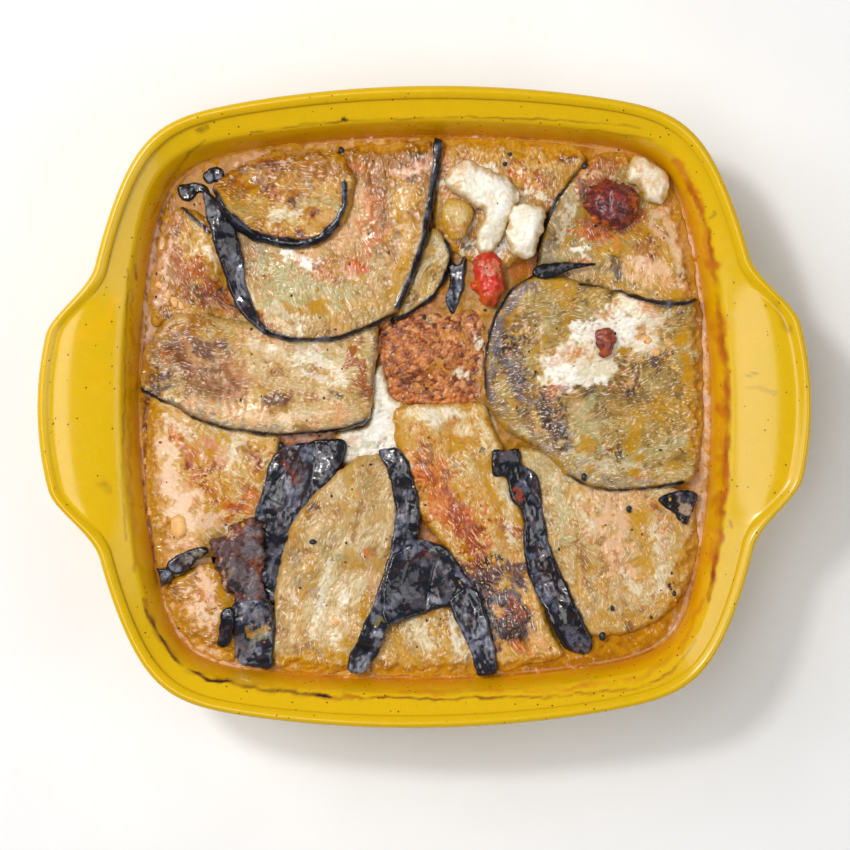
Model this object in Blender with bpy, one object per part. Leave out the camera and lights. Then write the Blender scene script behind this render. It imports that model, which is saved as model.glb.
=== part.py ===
"""Moussaka in its square stoneware baking dish.

The dish stands on the foot ring at Z = 0 with its handles along X.
Lengths are in metres.
"""

import math
import random

import bmesh
import bpy
import numpy as np
from mathutils import Vector, noise

# Dish sizes
HALF_WIDTH = 0.1300
HALF_LENGTH = 0.1207
RIM_SHAPE = (0.2170, 0.4330, 14.0)
WELL_SHAPE = (0.3300, 0.5000, 12.0)
HANDLE_REACH = 0.0155
HANDLE_BOW_RADIUS = 0.2700
HANDLE_FLANK_START = 0.0290
HANDLE_FLANK_END = 0.0555
HEIGHT = 0.0650
WELL_HALF_WIDTH = 0.1150
WELL_HALF_LENGTH = 0.1088
RIM_POINTS = 72

# Food sizes
GAP = 0.0003
FLOOR_LEVEL = 0.0070
JUICE_LEVEL = 0.0434
FOOD_TOP = 0.0500
EDGE_DROP = 0.0042
CORE_HALF_WIDTH = 0.0930
CORE_HALF_LENGTH = 0.0885
FOOD_HALF_WIDTH = 0.1080
FOOD_HALF_LENGTH = 0.1026
SLICE_THICKNESS = 0.0038
SKIN_THICKNESS = 0.0021

# Lattice that all draped pieces share
PITCH = 0.0086
LATTICE_X = 13
LATTICE_Y = 13
SAMPLE_STEP = 0.0006
TOUCH_MARGIN = 0.0006

# Plan drawing: x to the right, y down, one unit is UNIT metres
UNIT = 0.0003805
SHEET_CENTRE = (424.7, 407.0)
SHEET_TURN = 0.0157

SKIN_COLOUR = (0.012, 0.011, 0.018)
FLESH_COLOUR = (0.55, 0.36, 0.13)
OLIVE_COLOUR = (0.42, 0.31, 0.14)
SEARED_COLOUR = (0.50, 0.24, 0.06)
CHEESE_COLOUR = (0.82, 0.74, 0.56)

# Pieces that lie on the filling, from the lowest to the highest:
# name, colour, thickness, outline on the plan drawing
DRAPED_PIECES = (
    ("soft_cheese_centre", CHEESE_COLOUR, 0.0034,
     ((338, 432), (366, 424), (371, 398), (373, 374), (386, 371), (392, 397),
      (413, 409), (409, 440), (398, 460), (370, 466), (346, 464))),
    ("slice_top_centre", SEARED_COLOUR, 0.0030,
     ((446, 142), (500, 138), (556, 141), (584, 158), (568, 182), (552, 204),
      (536, 226), (514, 258), (486, 262), (462, 250), (440, 238), (437, 190))),
    ("slice_left", SEARED_COLOUR, SLICE_THICKNESS,
     ((172, 214), (188, 205), (206, 214), (230, 240), (250, 290), (268, 334),
      (225, 336), (190, 324), (166, 322), (152, 326), (148, 300), (155, 262))),
    ("slice_lower_left", FLESH_COLOUR, SLICE_THICKNESS,
     ((152, 392), (180, 402), (230, 424), (268, 432), (274, 470), (262, 515),
      (240, 552), (205, 556), (176, 560), (150, 566), (143, 520), (145, 450))),
    ("slice_upper_right", OLIVE_COLOUR, SLICE_THICKNESS,
     ((573, 180), (556, 200), (545, 225), (538, 252), (538, 272), (560, 288),
      (610, 300), (655, 308), (700, 306), (704, 268), (695, 225), (680, 186),
      (655, 160), (620, 150), (592, 160))),
    ("slice_lower_right", FLESH_COLOUR, SLICE_THICKNESS,
     ((524, 452), (545, 452), (575, 470), (610, 478), (660, 480), (692, 500),
      (698, 540), (690, 580), (670, 612), (640, 628), (600, 634), (578, 622),
      (558, 590), (544, 550), (535, 510), (528, 480))),
    ("slice_bottom_left", FLESH_COLOUR, SLICE_THICKNESS,
     ((155, 592), (172, 578), (205, 566), (232, 576), (246, 602), (238, 632),
      (224, 654), (200, 652), (172, 624))),
    ("slice_bottom_centre", FLESH_COLOUR, SLICE_THICKNESS,
     ((372, 612), (400, 600), (440, 598), (460, 622), (474, 652), (480, 676),
      (430, 678), (376, 676), (372, 640))),
    ("slice_centre", SEARED_COLOUR, SLICE_THICKNESS,
     ((395, 406), (440, 402), (482, 404), (491, 420), (502, 446), (512, 480),
      (524, 512), (532, 552), (540, 592), (552, 630), (564, 656), (530, 664),
      (500, 668), (490, 640), (476, 604), (460, 572), (442, 545), (422, 520),
      (408, 490), (400, 460), (396, 435))),
    ("slice_mid_left", SEARED_COLOUR, SLICE_THICKNESS,
     ((132, 383), (136, 360), (150, 336), (170, 314), (200, 312), (240, 318),
      (280, 326), (330, 328), (372, 322), (377, 350), (373, 375), (370, 400),
      (366, 422), (345, 430), (310, 434), (277, 436), (230, 431), (200, 422),
      (175, 408), (150, 395))),
    ("skin_lower_left", SKIN_COLOUR, SKIN_THICKNESS,
     ((282, 447), (312, 443), (343, 441), (344, 460), (326, 488), (312, 508),
      (300, 534), (290, 562), (282, 602), (264, 602), (255, 575), (258, 520),
      (268, 480))),
    ("slice_lower_centre", FLESH_COLOUR, SLICE_THICKNESS,
     ((350, 462), (368, 455), (387, 457), (396, 480), (402, 505), (400, 535),
      (394, 560), (386, 590), (374, 622), (358, 652), (340, 669), (300, 673),
      (274, 665), (272, 630), (274, 590), (283, 550), (297, 515), (325, 484))),
    ("sliver_upper_left", FLESH_COLOUR, 0.0030,
     ((426, 232), (440, 230), (449, 245), (449, 268), (432, 297), (406, 315),
      (392, 320), (402, 292), (416, 258))),
    ("slice_upper_left", FLESH_COLOUR, SLICE_THICKNESS,
     ((352, 148), (395, 143), (441, 142), (438, 165), (434, 190), (431, 215),
      (427, 240), (415, 275), (398, 309), (375, 325), (340, 338), (310, 341),
      (280, 338), (262, 330), (246, 300), (234, 272), (226, 246), (224, 222),
      (250, 195), (300, 165))),
    ("slice_right", OLIVE_COLOUR, SLICE_THICKNESS,
     ((535, 275), (512, 287), (498, 308), (489, 330), (485, 360), (486, 395),
      (495, 420), (512, 437), (530, 445), (550, 460), (571, 479), (600, 491),
      (655, 488), (692, 480), (700, 450), (703, 400), (702, 350), (699, 304),
      (660, 299), (620, 290), (583, 281), (560, 272))),
    ("skin_middle", SKIN_COLOUR, SKIN_THICKNESS,
     ((381, 451), (390, 480), (394, 507), (392, 535), (386, 560), (378, 590),
      (364, 622), (348, 656), (348, 671), (366, 669), (382, 640), (393, 606),
      (405, 572), (415, 545), (419, 515), (414, 485), (406, 458), (394, 449))),
    ("skin_bottom_centre", SKIN_COLOUR, SKIN_THICKNESS,
     ((393, 556), (420, 540), (445, 548), (462, 572), (478, 598), (455, 606),
      (430, 613), (405, 620), (384, 624), (382, 600), (386, 576))),
    ("skin_bottom_strip", SKIN_COLOUR, SKIN_THICKNESS,
     ((450, 602), (462, 588), (478, 592), (487, 615), (493, 640), (498, 671),
      (479, 674), (470, 650), (457, 626))),
    ("skin_lower_right", SKIN_COLOUR, SKIN_THICKNESS,
     ((492, 452), (520, 449), (524, 468), (537, 478), (542, 502), (547, 530),
      (557, 560), (573, 595), (593, 645), (578, 656), (560, 640), (545, 607),
      (530, 577), (524, 545), (521, 515), (511, 500), (508, 480), (494, 475))),
    ("skin_flap_left", SKIN_COLOUR, SKIN_THICKNESS,
     ((199, 199), (205, 216), (212, 238), (219, 262), (231, 292), (252, 324),
      (264, 331), (254, 305), (245, 280), (241, 256), (238, 234), (232, 218),
      (221, 204), (210, 196))),
    ("slice_small_upper_left", FLESH_COLOUR, 0.0036,
     ((215, 192), (222, 178), (250, 160), (290, 151), (335, 153), (352, 172),
      (352, 196), (344, 222), (325, 240), (303, 248), (275, 246), (248, 236),
      (228, 221))),
    ("skin_curl_left", SKIN_COLOUR, 0.0022,
     ((176, 187), (190, 183), (204, 184), (207, 190), (196, 196), (182, 198))),
    ("skin_flake_top", SKIN_COLOUR, 0.0020,
     ((203, 172), (213, 167), (221, 171), (216, 178), (207, 180))),
    ("charred_piece", (0.05, 0.02, 0.015), 0.0036,
     ((216, 532), (238, 518), (256, 522), (262, 548), (258, 575), (262, 596),
      (246, 612), (224, 606), (208, 582), (208, 552))),
    ("skin_bottom_left", SKIN_COLOUR, SKIN_THICKNESS,
     ((240, 602), (258, 605), (273, 612), (274, 640), (271, 665), (254, 668),
      (238, 660), (240, 640), (236, 618))),
    ("skin_flake_bottom", SKIN_COLOUR, 0.0020,
     ((222, 608), (234, 606), (234, 625), (228, 646), (218, 644), (220, 625))),
    ("skin_flake_left", SKIN_COLOUR, 0.0020,
     ((146, 577), (158, 568), (171, 573), (166, 587), (152, 592))),
    ("skin_flake_grey", (0.06, 0.055, 0.06), 0.0020,
     ((168, 566), (182, 553), (203, 548), (206, 556), (190, 566), (176, 573))),
    ("skin_triangle", SKIN_COLOUR, 0.0020,
     ((660, 499), (680, 492), (697, 494), (694, 510), (685, 524), (675, 513))),
    ("skin_leaf", SKIN_COLOUR, 0.0018,
     ((533, 275), (546, 265), (566, 262), (592, 264), (575, 271), (556, 276),
      (542, 283))),
    ("skin_bundle", SKIN_COLOUR, SKIN_THICKNESS,
     ((452, 262), (460, 262), (465, 280), (462, 300), (453, 313), (446, 302),
      (450, 282))),
)

# Lumps that lie on top: name, colour, height, outline on the plan drawing
LUMPS = (
    ("cheese_upper", CHEESE_COLOUR, 0.0058,
     ((446, 180), (453, 165), (470, 161), (488, 168), (505, 176), (517, 190),
      (514, 214), (502, 232), (490, 250), (477, 249), (477, 228), (484, 206),
      (466, 196))),
    ("cheese_upper_right", CHEESE_COLOUR, 0.0060,
     ((521, 216), (528, 207), (541, 208), (542, 226), (533, 250), (522, 257),
      (513, 246), (516, 230))),
    ("cheese_corner", CHEESE_COLOUR, 0.0048,
     ((632, 158), (648, 151), (662, 162), (668, 185), (661, 203), (645, 199),
      (640, 182), (630, 174))),
    ("tomato_browned", (0.12, 0.02, 0.02), 0.0060,
     ((590, 192), (610, 184), (630, 189), (635, 207), (625, 224), (605, 229),
      (590, 220), (586, 205))),
    ("tomato_piece", (0.62, 0.035, 0.02), 0.0056,
     ((474, 262), (484, 254), (494, 260), (503, 276), (500, 294), (488, 305),
      (476, 298), (472, 280))),
    ("flesh_fragment", SEARED_COLOUR, 0.0040,
     ((446, 206), (460, 198), (470, 206), (470, 222), (459, 238), (447, 234))),
    ("tomato_bit_right", (0.18, 0.05, 0.02), 0.0030,
     ((597, 334), (606, 328), (615, 336), (613, 350), (604, 358), (596, 346))),
)

MINCE_PATCH = ((385, 334), (402, 322), (430, 318), (448, 322), (468, 318),
               (478, 330), (479, 360), (476, 390), (462, 398), (440, 399),
               (410, 396), (392, 388), (384, 364))
MINCE_GRAINS = 17
MINCE_GRAIN_RADIUS = (0.0015, 0.0024)
PEPPERCORN_RADIUS = 0.0013
PEPPERCORNS = (
    ("slice_lower_centre", (313, 542)),
    ("slice_lower_right", (629, 509)),
    ("slice_lower_right", (612, 608)),
)


def clear_scene():
    for item in list(bpy.data.objects):
        bpy.data.objects.remove(item, do_unlink=True)


def new_collection(name):
    group = bpy.data.collections.new(name)
    bpy.context.scene.collection.children.link(group)
    return group


def make_material(name, colour, roughness):
    material = bpy.data.materials.new(name)
    material.use_nodes = True
    shader = material.node_tree.nodes["Principled BSDF"]
    shader.inputs["Base Color"].default_value = (*colour, 1.0)
    shader.inputs["Roughness"].default_value = roughness
    shader.inputs["Metallic"].default_value = 0.0
    return material


def object_from_bmesh(name, bm, group):
    mesh = bpy.data.meshes.new(name)
    bmesh.ops.recalc_face_normals(bm, faces=bm.faces)
    bm.to_mesh(mesh)
    bm.free()
    item = bpy.data.objects.new(name, mesh)
    group.objects.link(item)
    return item


def smooth_step(value):
    value = np.clip(value, 0.0, 1.0)
    return value * value * (3.0 - 2.0 * value)


# Dish outlines

def outline(half_width, half_length, shape=RIM_SHAPE, handle=0.0, count=RIM_POINTS):
    """Square with bowed sides and round corners, widened at Y = 0 by the handles.

    The shape is the bow radius of the sides, that of the ends, and the corner power.
    """
    side_bow, end_bow, power = shape
    angles = np.arange(count) * math.tau / count
    cosines = np.cos(angles)
    sines = np.sin(angles)
    radius = np.full(count, half_width)
    for _ in range(24):
        across = half_width - (radius * sines) ** 2 / (2.0 * side_bow)
        along = half_length - (radius * cosines) ** 2 / (2.0 * end_bow)
        total = np.abs(cosines / across) ** power + np.abs(sines / along) ** power
        radius = total ** (-1.0 / power)
    x = radius * cosines
    y = radius * sines
    reach = HANDLE_REACH - y ** 2 / (2.0 * HANDLE_BOW_RADIUS)
    x = x + np.sign(cosines) * handle * reach * handle_weight(x, y)
    return np.column_stack((x, y))


def handle_weight(x, y):
    """1 over the middle of a handle, 0 on the plain rim."""
    flank = (np.abs(y) - HANDLE_FLANK_START) / (HANDLE_FLANK_END - HANDLE_FLANK_START)
    return (1.0 - smooth_step(flank)) * (np.abs(x) > 0.6 * HALF_WIDTH)


def loft(bm, rings):
    """Join rings of equal point count with quads and close both ends."""
    rows = [[bm.verts.new(point) for point in ring] for ring in rings]
    count = len(rows[0])
    for lower, upper in zip(rows, rows[1:]):
        for index in range(count):
            following = (index + 1) % count
            bm.faces.new((lower[index], lower[following], upper[following], upper[index]))
    bm.faces.new(rows[0][::-1])
    bm.faces.new(rows[-1])


def level_ring(points, height):
    heights = np.broadcast_to(height, len(points))
    return [(x, y, z) for (x, y), z in zip(points, heights)]


def build_dish(group):
    outer = outline(HALF_WIDTH, HALF_LENGTH, handle=1.0)
    inner = outline(WELL_HALF_WIDTH, WELL_HALF_LENGTH, WELL_SHAPE)
    weight = handle_weight(outer[:, 0], outer[:, 1])
    width = np.linalg.norm(outer - inner, axis=1)[:, None]

    def across(share):
        """Point on the flange, from the well edge at 0 to the outer edge at 1."""
        return inner + (outer - inner) * share

    def from_edge(distance):
        return outer + (inner - outer) * distance / width

    rings = [
        level_ring(outline(0.0840, 0.0795, WELL_SHAPE), 0.0014),
        level_ring(outline(0.0862, 0.0817, WELL_SHAPE), 0.0),
        level_ring(outline(0.0925, 0.0877, WELL_SHAPE), 0.0),
        level_ring(outline(0.0972, 0.0922, WELL_SHAPE), 0.0026),
        level_ring(outline(0.1036, 0.0985, WELL_SHAPE), 0.0096),
        level_ring(outline(0.1096, 0.1043, WELL_SHAPE), 0.0225),
        level_ring(outline(0.1150, 0.1094, WELL_SHAPE), 0.0440),
        level_ring(outline(0.1172, 0.1114, WELL_SHAPE), 0.0525),
        level_ring(across(0.36), 0.0565),
        level_ring(from_edge(0.0034), 0.0588),
        level_ring(from_edge(0.0008), 0.0606),
        level_ring(outer, 0.0628),
        level_ring(from_edge(0.0006), 0.0642),
        level_ring(from_edge(0.0020), HEIGHT),
        level_ring(from_edge(0.0034), 0.0645),
        level_ring(from_edge(0.0052), 0.0635),
        level_ring(across(0.66), 0.0624 + 0.0010 * weight),
        level_ring(across(0.50), 0.0615 + 0.0012 * weight),
        level_ring(across(0.20), 0.0598 + 0.0012 * weight),
        level_ring(inner, 0.0586 + 0.0006 * weight),
        level_ring(outline(WELL_HALF_WIDTH - 0.0012, WELL_HALF_LENGTH - 0.0012, WELL_SHAPE), 0.0570),
        level_ring(outline(0.1093, 0.1039, WELL_SHAPE), JUICE_LEVEL),
        level_ring(outline(0.1045, 0.0993, WELL_SHAPE), 0.0200),
        level_ring(outline(0.1010, 0.0959, WELL_SHAPE), 0.0110),
        level_ring(outline(0.0940, 0.0893, WELL_SHAPE), 0.0075),
        level_ring(outline(0.0860, 0.0817, WELL_SHAPE), FLOOR_LEVEL),
    ]
    bm = bmesh.new()
    loft(bm, rings)
    dish = object_from_bmesh("baking_dish", bm, group)
    dish.data.shade_smooth()
    dish.data.set_sharp_from_angle(angle=math.radians(50))
    dish.data.materials.append(make_material("yellow_glaze", (0.70, 0.46, 0.004), 0.18))


def build_juice(group):
    clear = 0.0005
    inner_wall = outline(CORE_HALF_WIDTH + 0.0004, CORE_HALF_LENGTH + 0.0004, WELL_SHAPE)
    rings = [
        level_ring(inner_wall, FLOOR_LEVEL + 0.0011),
        level_ring(outline(0.0970, 0.0922, WELL_SHAPE), 0.0097),
        level_ring(outline(0.1010 - clear, 0.0959 - clear, WELL_SHAPE), 0.0114),
        level_ring(outline(0.1045 - clear, 0.0993 - clear, WELL_SHAPE), 0.0202),
        level_ring(outline(0.1093 - clear, 0.1039 - clear, WELL_SHAPE), JUICE_LEVEL),
        level_ring(inner_wall, JUICE_LEVEL),
    ]
    bm = bmesh.new()
    rows = [[bm.verts.new(point) for point in ring] for ring in rings]
    for lower, upper in zip(rows, rows[1:] + rows[:1]):
        for index in range(RIM_POINTS):
            following = (index + 1) % RIM_POINTS
            bm.faces.new((lower[index], lower[following], upper[following], upper[index]))
    juice = object_from_bmesh("cooking_juice", bm, group)
    juice.data.materials.append(make_material("amber_juice", (0.42, 0.17, 0.01), 0.08))


# Plan drawing

def on_plan(point):
    """Metres of a point given on the plan drawing."""
    across = point[0] - SHEET_CENTRE[0]
    down = point[1] - SHEET_CENTRE[1]
    x = across * math.cos(SHEET_TURN) - down * math.sin(SHEET_TURN)
    y = -(across * math.sin(SHEET_TURN) + down * math.cos(SHEET_TURN))
    return np.array((x, y)) * UNIT


def smooth_outline(points, spacing):
    """Closed curve through the drawing's points, cut into steps of about spacing."""
    plan = np.array([on_plan(point) for point in points])
    before = np.roll(plan, 1, axis=0)
    after = np.roll(plan, -1, axis=0)
    beyond = np.roll(plan, -2, axis=0)
    curve = []
    for step in np.linspace(0.0, 1.0, 12, endpoint=False):
        blend = (2.0 * plan + (after - before) * step
                 + (2.0 * before - 5.0 * plan + 4.0 * after - beyond) * step ** 2
                 + (3.0 * plan - before - 3.0 * after + beyond) * step ** 3) / 2.0
        curve.append(blend)
    dense = np.stack(curve, axis=1).reshape(-1, 2)
    dense = np.array([held_in_well(point) for point in dense])
    closed = np.vstack((dense, dense[:1]))
    lengths = np.linalg.norm(np.diff(closed, axis=0), axis=1)
    travelled = np.concatenate(([0.0], np.cumsum(lengths)))
    count = max(6, round(travelled[-1] / spacing))
    marks = np.arange(count) * travelled[-1] / count
    x = np.interp(marks, travelled, closed[:, 0])
    y = np.interp(marks, travelled, closed[:, 1])
    return np.column_stack((x, y))


WELL_LIMIT = outline(FOOD_HALF_WIDTH, FOOD_HALF_LENGTH, WELL_SHAPE, count=360)


def held_in_well(point):
    """Pull a point that passes the dish wall back to the food's outer edge."""
    degrees = math.degrees(math.atan2(point[1], point[0])) % 360.0
    limit = np.linalg.norm(WELL_LIMIT[round(degrees) % 360])
    radius = max(math.hypot(point[0], point[1]), 1e-9)
    return point * min(1.0, limit / radius)


def reaches(polygon, x, y, margin):
    """Which of the points lie in the polygon or within margin of its edge."""
    inside = np.zeros(x.shape, bool)
    near = np.zeros(x.shape, bool)
    for (ax, ay), (bx, by) in zip(polygon, np.roll(polygon, -1, axis=0)):
        crosses = (ay > y) != (by > y)
        slope = (bx - ax) / (by - ay) if by != ay else 0.0
        inside ^= crosses & (x < ax + (y - ay) * slope)
        length = max((bx - ax) ** 2 + (by - ay) ** 2, 1e-12)
        share = np.clip(((x - ax) * (bx - ax) + (y - ay) * (by - ay)) / length, 0.0, 1.0)
        gap = np.hypot(x - ax - share * (bx - ax), y - ay - share * (by - ay))
        near |= gap < margin
    return inside | near


# Lattice of heights

LATTICE_XS = np.arange(-LATTICE_X, LATTICE_X + 1) * PITCH
LATTICE_YS = np.arange(-LATTICE_Y, LATTICE_Y + 1) * PITCH
GRID_X, GRID_Y = np.meshgrid(LATTICE_XS, LATTICE_YS, indexing="ij")
SAMPLE_XS = np.arange(LATTICE_XS[0], LATTICE_XS[-1], SAMPLE_STEP) + 0.3 * SAMPLE_STEP
SAMPLE_YS = np.arange(LATTICE_YS[0], LATTICE_YS[-1], SAMPLE_STEP) + 0.3 * SAMPLE_STEP
SAMPLE_X, SAMPLE_Y = np.meshgrid(SAMPLE_XS, SAMPLE_YS, indexing="ij")
CELL_I = ((SAMPLE_X - LATTICE_XS[0]) / PITCH).astype(int)
CELL_J = ((SAMPLE_Y - LATTICE_YS[0]) / PITCH).astype(int)


def corners_of(covered):
    """Lattice points of all the cells in which a sample is covered."""
    touched = np.zeros(GRID_X.shape, bool)
    rows = CELL_I[covered]
    columns = CELL_J[covered]
    for right in (0, 1):
        for up in (0, 1):
            touched[rows + right, columns + up] = True
    return touched


def neighbour_mean(field):
    padded = np.pad(field, 1, mode="edge")
    return (padded[:-2, 1:-1] + padded[2:, 1:-1] + padded[1:-1, :-2] + padded[1:-1, 2:]) / 4.0


def uneven(x, y, seed, size):
    """Smooth unevenness between -1 and 1."""
    return noise.noise(Vector((x / size + seed * 7.3, y / size - seed * 3.1, seed)))


def target_top():
    """Height that the finished top of the food comes to."""
    spread = (np.abs(GRID_X / FOOD_HALF_WIDTH) ** 4 + np.abs(GRID_Y / FOOD_HALF_LENGTH) ** 4)
    lumps = np.vectorize(lambda x, y: uneven(x, y, 1.0, 0.045))(GRID_X, GRID_Y)
    return FOOD_TOP - EDGE_DROP * np.clip(spread, 0.0, 1.2) + 0.0012 * lumps


def filling_top(covers):
    """The filling gives way under the pieces that lie on it."""
    load = np.zeros(GRID_X.shape)
    for thickness, touched in covers:
        load += 1.05 * thickness * touched
    for _ in range(2):
        load = 0.5 * load + 0.5 * neighbour_mean(load)
    return np.clip(target_top() - load, 0.0340, None)


def drape(lower_bound, rest):
    """Sheet that rests on what is under it and spans the steps between."""
    sheet = np.maximum(lower_bound, rest)
    for _ in range(10):
        sheet = np.maximum(lower_bound, 0.55 * neighbour_mean(sheet) + 0.45 * rest)
    return sheet


def lattice_slab(bm, top, bottom):
    """Closed slab over the whole lattice. A bottom of None is a flat floor."""
    rows, columns = GRID_X.shape
    upper = {}
    for i in range(rows):
        for j in range(columns):
            upper[i, j] = bm.verts.new((GRID_X[i, j], GRID_Y[i, j], top[i, j]))
    triangles = []
    for i in range(rows - 1):
        for j in range(columns - 1):
            triangles.append(((i, j), (i + 1, j), (i + 1, j + 1)))
            triangles.append(((i, j), (i + 1, j + 1), (i, j + 1)))
    for triangle in triangles:
        bm.faces.new([upper[key] for key in triangle])
    border = [(i, 0) for i in range(rows)]
    border += [(rows - 1, j) for j in range(1, columns)]
    border += [(i, columns - 1) for i in range(rows - 2, -1, -1)]
    border += [(0, j) for j in range(columns - 2, 0, -1)]
    lower = {}
    for key in (border if bottom is None else upper):
        height = FLOOR_LEVEL + 0.0008 if bottom is None else bottom[key]
        lower[key] = bm.verts.new((GRID_X[key], GRID_Y[key], height))
    if bottom is None:
        bm.faces.new([lower[key] for key in reversed(border)])
    else:
        for triangle in triangles:
            bm.faces.new([lower[key] for key in reversed(triangle)])
    for first, second in zip(border, border[1:] + border[:1]):
        bm.faces.new((upper[first], lower[first], lower[second], upper[second]))


def prism(bm, polygon, low, high):
    floor = bm.faces.new([bm.verts.new((x, y, low)) for x, y in polygon])
    raised = bmesh.ops.extrude_face_region(bm, geom=[floor])
    points = [item for item in raised["geom"] if isinstance(item, bmesh.types.BMVert)]
    bmesh.ops.translate(bm, verts=points, vec=(0.0, 0.0, high - low))


def cut_to_outline(name, polygon, top, bottom, groups):
    """The part of a lattice slab that lies within the outline."""
    bm = bmesh.new()
    lattice_slab(bm, top, bottom)
    piece = object_from_bmesh(name, bm, groups["food"])
    bm = bmesh.new()
    prism(bm, polygon, 0.0, 2.0 * HEIGHT)
    cutter = object_from_bmesh(name + "_outline", bm, groups["cutters"])
    join = piece.modifiers.new("outline", "BOOLEAN")
    join.operation = "INTERSECT"
    join.object = cutter
    apply_modifiers(piece)
    bpy.data.objects.remove(cutter, do_unlink=True)
    return piece


def apply_modifiers(piece):
    bpy.context.view_layer.update()
    graph = bpy.context.evaluated_depsgraph_get()
    mesh = bpy.data.meshes.new_from_object(piece.evaluated_get(graph))
    piece.modifiers.clear()
    piece.data = mesh


def surface_height(field, x, y):
    """Height of the lattice surface at a point, on its own triangle."""
    column = (x - LATTICE_XS[0]) / PITCH
    row = (y - LATTICE_YS[0]) / PITCH
    i = int(column)
    j = int(row)
    across = column - i
    up = row - j
    start = field[i, j]
    end = field[i + 1, j + 1]
    if across >= up:
        side = field[i + 1, j]
        return start + across * (side - start) + up * (end - side)
    side = field[i, j + 1]
    return start + up * (side - start) + across * (end - side)


def fuse_grains(piece, grains, groups):
    """One union of a piece with small round grains given as centre and radius."""
    holder = new_collection(piece.name + "_grains")
    for number, (centre, radius) in enumerate(grains):
        bm = bmesh.new()
        bmesh.ops.create_icosphere(bm, subdivisions=1, radius=radius)
        turn = Vector((math.cos(number), math.sin(number), 0.4)).to_track_quat("Z", "Y")
        bmesh.ops.rotate(bm, verts=bm.verts, cent=(0, 0, 0), matrix=turn.to_matrix())
        bmesh.ops.translate(bm, verts=bm.verts, vec=centre)
        object_from_bmesh(piece.name + "_grain_%02d" % number, bm, holder)
    join = piece.modifiers.new("grains", "BOOLEAN")
    join.operation = "UNION"
    join.operand_type = "COLLECTION"
    join.collection = holder
    apply_modifiers(piece)
    for item in list(holder.objects):
        bpy.data.objects.remove(item, do_unlink=True)
    bpy.data.collections.remove(holder)


def build_lump(name, colour, height, polygon, base, groups):
    """Low rounded lump with a flat underside at the height base."""
    centre = polygon.mean(axis=0)
    rings = []
    for scale, share in ((0.93, 0.0), (1.0, 0.30), (0.94, 0.66), (0.66, 0.94)):
        ring = []
        for x, y in centre + (polygon - centre) * scale:
            bump = 0.0007 * uneven(x, y, 5.0 + share, 0.006) if share else 0.0
            ring.append((x, y, base + share * height + bump))
        rings.append(ring)
    bm = bmesh.new()
    loft(bm, rings)
    lump = object_from_bmesh(name, bm, groups["food"])
    lump.data.shade_smooth()
    lump.data.materials.append(make_material(name + "_colour", colour, 0.35))


def build_food(groups):
    outlines = {}
    covered = {}
    for name, _colour, _thickness, points in DRAPED_PIECES + LUMPS:
        small = len(points) < 9
        polygon = smooth_outline(points, 0.0050 if small else 0.0084)
        outlines[name] = polygon
        covered[name] = reaches(polygon, SAMPLE_X, SAMPLE_Y, TOUCH_MARGIN)

    core_polygon = outline(CORE_HALF_WIDTH, CORE_HALF_LENGTH, WELL_SHAPE)
    over_juice = ~reaches(core_polygon * 0.985, SAMPLE_X, SAMPLE_Y, 0.0)
    covers = [(thickness, corners_of(covered[name])) for name, _c, thickness, _p in DRAPED_PIECES]
    filling = filling_top(covers)
    filling_piece = cut_to_outline("mince_filling", core_polygon, filling, None, groups)

    tops = {}
    peppered = {name: [] for name, _spot in PEPPERCORNS}
    for name, spot in PEPPERCORNS:
        peppered[name].append(on_plan(spot))
    placed = []
    for name, colour, thickness, _points in DRAPED_PIECES:
        mine = covered[name]
        touched = corners_of(mine)
        bound = np.where(touched, filling + GAP, 0.0)
        wet = corners_of(mine & over_juice)
        bound = np.where(wet, np.maximum(bound, JUICE_LEVEL + GAP), bound)
        for other in placed:
            shared = mine & covered[other]
            if shared.any():
                stacked = corners_of(shared)
                bound = np.where(stacked, np.maximum(bound, tops[other] + GAP), bound)
        bottom = drape(bound, filling + GAP)
        top = bottom + thickness
        piece = cut_to_outline(name, outlines[name], top, bottom, groups)
        grains = [((x, y, surface_height(top, x, y)), PEPPERCORN_RADIUS)
                  for x, y in peppered.get(name, ())]
        if grains:
            fuse_grains(piece, grains, groups)
        piece.data.shade_smooth()
        piece.data.set_sharp_from_angle(angle=math.radians(35))
        rough = 0.22 if colour[0] < 0.1 else 0.38
        piece.data.materials.append(make_material(name + "_colour", colour, rough))
        tops[name] = top
        placed.append(name)

    for name, colour, height, _points in LUMPS:
        touched = corners_of(covered[name])
        base = float((filling + GAP)[touched].max())
        if (covered[name] & over_juice).any():
            base = max(base, JUICE_LEVEL + GAP)
        for other in placed:
            shared = covered[name] & covered[other]
            if shared.any():
                base = max(base, float(tops[other][corners_of(shared)].max()) + GAP)
        build_lump(name, colour, height, outlines[name], base, groups)

    add_mince(filling_piece, filling, covered, groups)


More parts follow.
